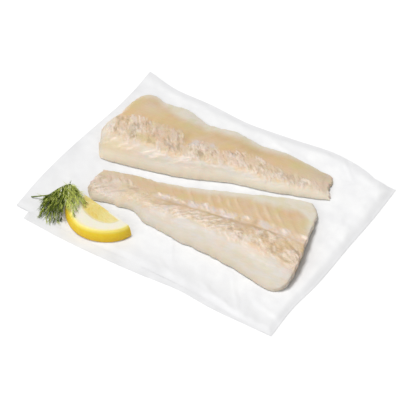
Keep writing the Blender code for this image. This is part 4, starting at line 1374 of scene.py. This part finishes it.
def lemon_looks():
    looks = Looks("lemon", 0.3, 0.5)
    zone = looks.share("zone")
    level = looks.share("level")
    place = looks.place("place", (1.0, 1.0, 1.0))
    cloud = looks.grain(place, 1.6, 3.0)
    drift = looks.grain(place, 0.7, 2.0)
    pulp = looks.layered(looks.mix(looks.share("sac"), LEMON_PULP_LOW, LEMON_PULP_HIGH), [
        (looks.times(drift, 0.7), LEMON_PULP_DEEP),
        (looks.part("skin", 0.3), LEMON_SKIN),
    ])
    pith = looks.mix(cloud, LEMON_PITH_LOW, LEMON_PITH_HIGH)
    zest = looks.mix(looks.span(level, 0.0, 0.8, 0.0, 1.0), LEMON_ZEST_LOW, LEMON_ZEST_HIGH)
    colour = looks.layered(zest, [
        (looks.times(cloud, 0.3), LEMON_ZEST_DEEP),
        (looks.span(level, 0.7, 0.98, 0.0, 0.8), LEMON_ZEST_RIM),
        (looks.span(zone, 0.0, 0.32, 0.0, 1.0), pith),
        (looks.span(zone, 0.86, 1.06, 0.0, 1.0), pulp),
    ])
    pores = looks.node("ShaderNodeTexVoronoi", {"Vector": place, "Scale": 7.5}).outputs["Distance"]
    pores = looks.times(pores, looks.span(zone, 0.0, 0.1, 1.0, 0.0))
    bump = looks.bump(pores, 0.2, looks.bump(looks.grain(place, 14.0, 3.0), 0.04))
    rough = looks.span(zone, 0.9, 1.05, 0.5, 0.26)
    return looks.finish(
        base_color=colour, normal=bump, roughness=rough, subsurface_weight=0.1, subsurface_scale=2.0 * MM
    )


def lemon_wall(face, side):
    """Rows down the upright cut face, which carry on the zones that the upper one has along the cut."""
    ends = [(row, -1) for row in face] + [(row, 0) for row in reversed(face)]
    top = np.array([place[end][0] for (place, *_), end in ends])
    top_height = np.array([np.ravel(height)[-1] for (_, height, *_), _ in ends])
    zone = np.array([row[2] for row, _ in ends])
    half = LEMON_TOP[0] * (1 - LEMON_EDGE)
    rows = []
    for place, height in side:
        share = height / SIDE_HEIGHT
        across = top * (place[0][0] / half)
        sac = 0.5 + 0.5 * np.sin(across * 1.3 + 3 * noise(across / 3, share * 4, 57))
        row_place = np.stack([across, np.zeros_like(across)], -1)
        rows.append((row_place, top_height * share, zone, sac, WALL_SKIN, 1.0))
    return rows


def lemon_wedge():
    """The wedge: its upper cut face, rounded side, upright cut face and foot, joined into one closed skin."""
    face, side = lemon_face(), lemon_side()
    points, faces, values = [], [], []

    def add_rows(rows):
        """Adds a grid of (place, height, zone, sac, skin, level) rows."""
        start = len(points)
        for place, height, *row_values in rows:
            heights = np.broadcast_to(height, len(place))
            points.extend((x, y, z) for (x, y), z in zip(place, heights))
            values.extend(zip(*[np.broadcast_to(value, len(place)) for value in row_values]))
        across = len(rows[0][0])
        faces.extend(tuple(start + i for i in quad) for quad in grid_faces(len(rows), across))

    add_rows([(place, height, paled(place, zone), *rest, 1.0) for place, height, zone, *rest in face])
    add_rows([(place, height, 0.0, 0.0, 0.0, height / LEMON_THICK) for place, height in side])
    add_rows(lemon_wall(face, side))
    foot = (len(face) + len(side) - 1) * LEMON_POINTS
    faces.append(tuple(range(foot, foot + LEMON_POINTS)))

    turn = math.radians(LEMON_TURN)
    flat = np.array(points)
    away = flat[:, :2] @ np.array([[math.cos(turn), math.sin(turn)], [-math.sin(turn), math.cos(turn)]])
    placed = np.column_stack([away + np.array(LEMON_CENTRE), SHEET_TOP + LEMON_LIFT + flat[:, 2]])
    shares = dict(zip(("zone", "sac", "skin", "level"), np.array(values, float).T), place=placed / CM)
    piece = add_piece("lemon_slice", placed, faces, lemon_looks(), shares)
    close_skin(piece.data)
    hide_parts("lemon_wedge")
    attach(piece, "root")


# Dill


def in_lemon(x, y, spare):
    """Whether a place is over the lemon's foot, widened by the spare."""
    turn = math.radians(LEMON_TURN)
    side = x - LEMON_CENTRE[0]
    away = y - LEMON_CENTRE[1]
    along = side * math.cos(turn) + away * math.sin(turn)
    depth = side * math.sin(turn) - away * math.cos(turn)
    half_length, reach, power = LEMON_FOOT
    if depth < -spare:
        return False
    return (abs(along) / (half_length + spare)) ** power + (max(depth, 0) / (reach + spare)) ** power < 1


def lifted(point, clear, spare):
    """The point, raised where it would run into the sheet or the lemon."""
    x, y, z = point
    floor = SHEET_TOP + clear
    if in_lemon(x, y, spare):
        floor += LEMON_THICK + LEMON_LIFT
    return Vector((x, y, min(max(z, floor), DILL_CEILING)))


def along_path(path, share):
    place = share * (len(path) - 1)
    i = min(int(place), len(path) - 2)
    return Vector(path[i]).lerp(Vector(path[i + 1]), place - i)


def kept_short(root, way, length):
    """The length, cut down where the thread would cross the lemon's side."""
    tip = root + way * length
    crosses = in_lemon(*tip.xy, THREAD_SPARE) != in_lemon(*root.xy, THREAD_SPARE)
    return length * THREAD_CUT if crosses and min(root.z, tip.z) < LEMON_CLEAR else length


def thread(paths, root, way, length, radius, rng, shade):
    """Adds one curved thread that leaves its root along a way and droops to its tip. Returns its points."""
    length = kept_short(root, way, length)
    side = way.cross(Vector([rng.uniform(-1, 1) for _ in range(3)])).normalized()
    bend = rng.uniform(-THREAD_BEND, THREAD_BEND)
    points = []
    for share in THREAD_PLACES:
        point = root + way * length * share + side * bend * length * share * share
        point.z -= THREAD_DROOP * length * share * share
        points.append(lifted(point, THREAD_CLEAR, THREAD_SPARE) if share else root)
    paths.append((points, radius, shade))
    return points


def midrib(start, tip):
    """The arched midrib of a frond."""
    rib = []
    for i in range(RIB_STEPS + 1):
        share = i / RIB_STEPS
        point = start.lerp(Vector(tip), share)
        point.z += FROND_ARCH * 4 * share * (1 - share)
        rib.append(lifted(point, RIB_CLEAR, RIB_SPARE))
    return rib


def forks(paths, needle, way, across, length, rng, shade):
    """The short threads that leave a needle on its way."""
    for place in FORKS:
        fork = way + across * rng.uniform(-TWIG_SPREAD, TWIG_SPREAD)
        fork.z += rng.uniform(*TWIG_RISE)
        fork.normalize()
        reach = length * rng.uniform(*TWIG_REACH) * (TWIG_TAPER[0] - TWIG_TAPER[1] * place)
        twig_shade = shade + rng.uniform(-TWIG_SHADE, TWIG_SHADE)
        thread(paths, along_path(needle, place), fork, reach, THREAD_RADIUS * TWIG_THIN, rng, twig_shade)


def frond(paths, start, tip, rng):
    """A frond: an arched midrib, and needle-like threads that point along it and fork towards their tips."""
    rib = midrib(start, tip)
    paths.append((rib, STEM_RADIUS * RIB_THIN, rng.uniform(*RIB_SHADE)))
    lit = rng.uniform(*FROND_LIT) + (RIGHT_LIT if tip[0] > RIGHT_FROM else 0)
    for i in range(NODES):
        share = (i + NODE_SHIFT) / NODES
        before, after = max(share - AHEAD, 0), min(share + AHEAD, 1)
        ahead = (along_path(rib, after) - along_path(rib, before)).normalized()
        across = ahead.cross(Vector((0, 0, 1))).normalized()
        for k in range(LOW_NEEDLES if tip[2] < LOW_TIP else NEEDLES):
            hand = (k % 2) * 2 - 1
            way = ahead + across * hand * rng.uniform(*NEEDLE_SPREAD)
            way.z += rng.uniform(*NEEDLE_RISE)
            way.normalize()
            length = NEEDLE_LENGTH * rng.uniform(*LENGTH_SPREAD) * (NEEDLE_TAPER[0] - NEEDLE_TAPER[1] * share)
            shade = min(max(rng.random() + lit, 0), 1)
            needle = thread(paths, along_path(rib, share), way, length, THREAD_RADIUS, rng, shade)
            forks(paths, needle, way, across, length, rng, shade)


def tubes(paths):
    """Points, faces, shades and shares of the way to the tip, of thin tapered tubes along paths."""
    points, faces, shades, tips = [], [], [], []
    for path, radius, shade in paths:
        start = len(points)
        count = len(path)
        for i, point in enumerate(path):
            ahead = (path[min(i + 1, count - 1)] - path[max(i - 1, 0)]).normalized()
            across = ahead.cross(Vector(NEARLY_UP)).normalized()
            upward = across.cross(ahead)
            taper = 1 - TUBE_TAPER * i / (count - 1)
            for k in range(TUBE_SIDES):
                angle = 2 * math.pi * k / TUBE_SIDES
                points.append(point + radius * taper * (math.cos(angle) * across + math.sin(angle) * upward))
                shades.append(min(max(shade, 0), 1))
                tips.append(i / (count - 1))
        for i in range(count - 1):
            for k in range(TUBE_SIDES):
                a = start + i * TUBE_SIDES + k
                b = start + i * TUBE_SIDES + (k + 1) % TUBE_SIDES
                faces.append((a, b, b + TUBE_SIDES, a + TUBE_SIDES))
        last = start + (count - 1) * TUBE_SIDES
        faces.append(tuple(start + k for k in reversed(range(TUBE_SIDES))))
        faces.append(tuple(last + k for k in range(TUBE_SIDES)))
    return points, faces, shades, tips


def buried(points):
    """How deep each point lies under the highest one of its cell."""
    cells = np.floor(points[:, :2] / DILL_CELL).astype(int)
    cells = cells - cells.min(axis=0)
    highest = np.zeros(cells.max(axis=0) + 1)
    np.maximum.at(highest, (cells[:, 0], cells[:, 1]), points[:, 2])
    return highest[cells[:, 0], cells[:, 1]] - points[:, 2]


def dill_looks():
    looks = Looks("dill", 0.5, 0.16)
    place = looks.place("place", (1.0, 1.0, 1.0))
    shade = looks.share("shade")
    colour = looks.layered(DILL_DEEP, [
        (looks.span(shade, 0.0, 0.7, 0.0, 1.0), DILL_LIGHT),
        (looks.span(shade, 0.66, 0.95, 0.0, 1.0), DILL_YELLOW),
        (looks.part("tip", 0.3), DILL_TIP),
    ])
    cloud = looks.grain(place, 2.5, 2.0)
    bump = looks.bump(looks.grain(place, 30.0, 2.0), 0.05)
    rough = looks.span(cloud, 0.0, 1.0, 0.38, 0.54)
    return looks.finish(base_color=colour, normal=bump, roughness=rough)


def dill_sprig():
    rng = random.Random(SEED)
    paths = []
    for share, tip in FRONDS:
        frond(paths, along_path(STEM, share), tip, rng)
    stalk = [along_path(STEM, i / STALK_STEPS) for i in range(STALK_STEPS + 1)]
    paths.append((stalk, STEM_RADIUS, STALK_SHADE))
    for _ in range(CROWN_THREADS):
        way = Vector([rng.uniform(*reach) for reach in CROWN_WAY]).normalized()
        root = along_path(STEM, rng.uniform(*CROWN_PART))
        length = rng.uniform(*CROWN_LENGTH)
        thread(paths, root, way, length, THREAD_RADIUS, rng, rng.uniform(*CROWN_SHADE))
    crown = along_path(STEM, 1.0)
    spike = Vector(SPIKE) - crown
    for bend in SPIKE_BENDS:
        way = spike.normalized() + Vector((bend, bend, 0))
        thread(paths, crown, way, spike.length, THREAD_RADIUS, rng, SPIKE_SHADE)
    points, faces, shades, tips = tubes(paths)
    placed = np.array([tuple(point) for point in points])
    placed[:, 2] = np.clip(placed[:, 2], DILL_FLOOR, DILL_CEILING)
    # Painted light and shade: each thread's random shade, lighter fronds over the lemon and the crown, and
    # darker threads buried under others.
    lit = np.clip(LEAST_LIT + SHADE_SPREAD * np.array(shades) - DEPTH_SHADE * buried(placed), 0, 1)
    shares = {"shade": lit, "tip": tips, "place": placed / CM}
    piece = add_piece("dill_threads", placed, faces, dill_looks(), shares)
    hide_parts("dill_sprig")
    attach(piece, "root")


# Stage


def stage():
    """A plain near-white floor, a soft lamp from above and a little to the left, a wide one from the near
    side, and a bright room."""
    looks = Looks("floor", 0.9, 0.1)
    corner = FLOOR_SIDE / 2
    corners = [(-corner, -corner, 0), (corner, -corner, 0), (corner, corner, 0), (-corner, corner, 0)]
    floor = add_piece("floor", corners, [(0, 1, 2, 3)], looks.finish(base_color=FLOOR_COLOUR))
    world = bpy.data.worlds.new("room")
    world.use_nodes = True
    backdrop = world.node_tree.nodes["Background"]
    backdrop.inputs["Color"].default_value = ROOM_COLOUR
    backdrop.inputs["Strength"].default_value = ROOM_LIGHT
    bpy.context.scene.world = world
    for name, (place, spread, power) in LAMPS.items():
        data = bpy.data.lights.new(name, "SUN")
        data.angle = math.radians(spread)
        data.energy = power
        lamp = bpy.data.objects.new(name, data)
        lamp.rotation_euler = Vector(place).to_track_quat("Z", "Y").to_euler()
        bpy.context.scene.collection.objects.link(lamp)
    bpy.context.scene.view_settings.view_transform = "Standard"


def camera():
    azimuth, elevation = math.radians(AZIMUTH), math.radians(ELEVATION)
    flat = math.cos(elevation)
    back = Vector((math.sin(azimuth) * flat, -math.cos(azimuth) * flat, math.sin(elevation)))
    data = bpy.data.cameras.new("camera")
    data.sensor_width = SENSOR
    data.lens = SENSOR / 2 / math.tan(math.radians(VIEW_ANGLE / 2))
    data.shift_x, data.shift_y = AIM_SHIFT
    data.clip_end = FLOOR_SIDE * MM
    made = bpy.data.objects.new("camera", data)
    made.location = (Vector(AIM) + back * DISTANCE) * MM
    made.rotation_euler = back.to_track_quat("Z", "Y").to_euler()
    bpy.context.scene.collection.objects.link(made)
    bpy.context.scene.camera = made


def main():
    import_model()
    paper_sheet()
    flesh = fillet_looks()
    fillet(FRONT, flesh)
    fillet(BACK, flesh)
    lemon_wedge()
    dill_sprig()
    stage()
    camera()


main()
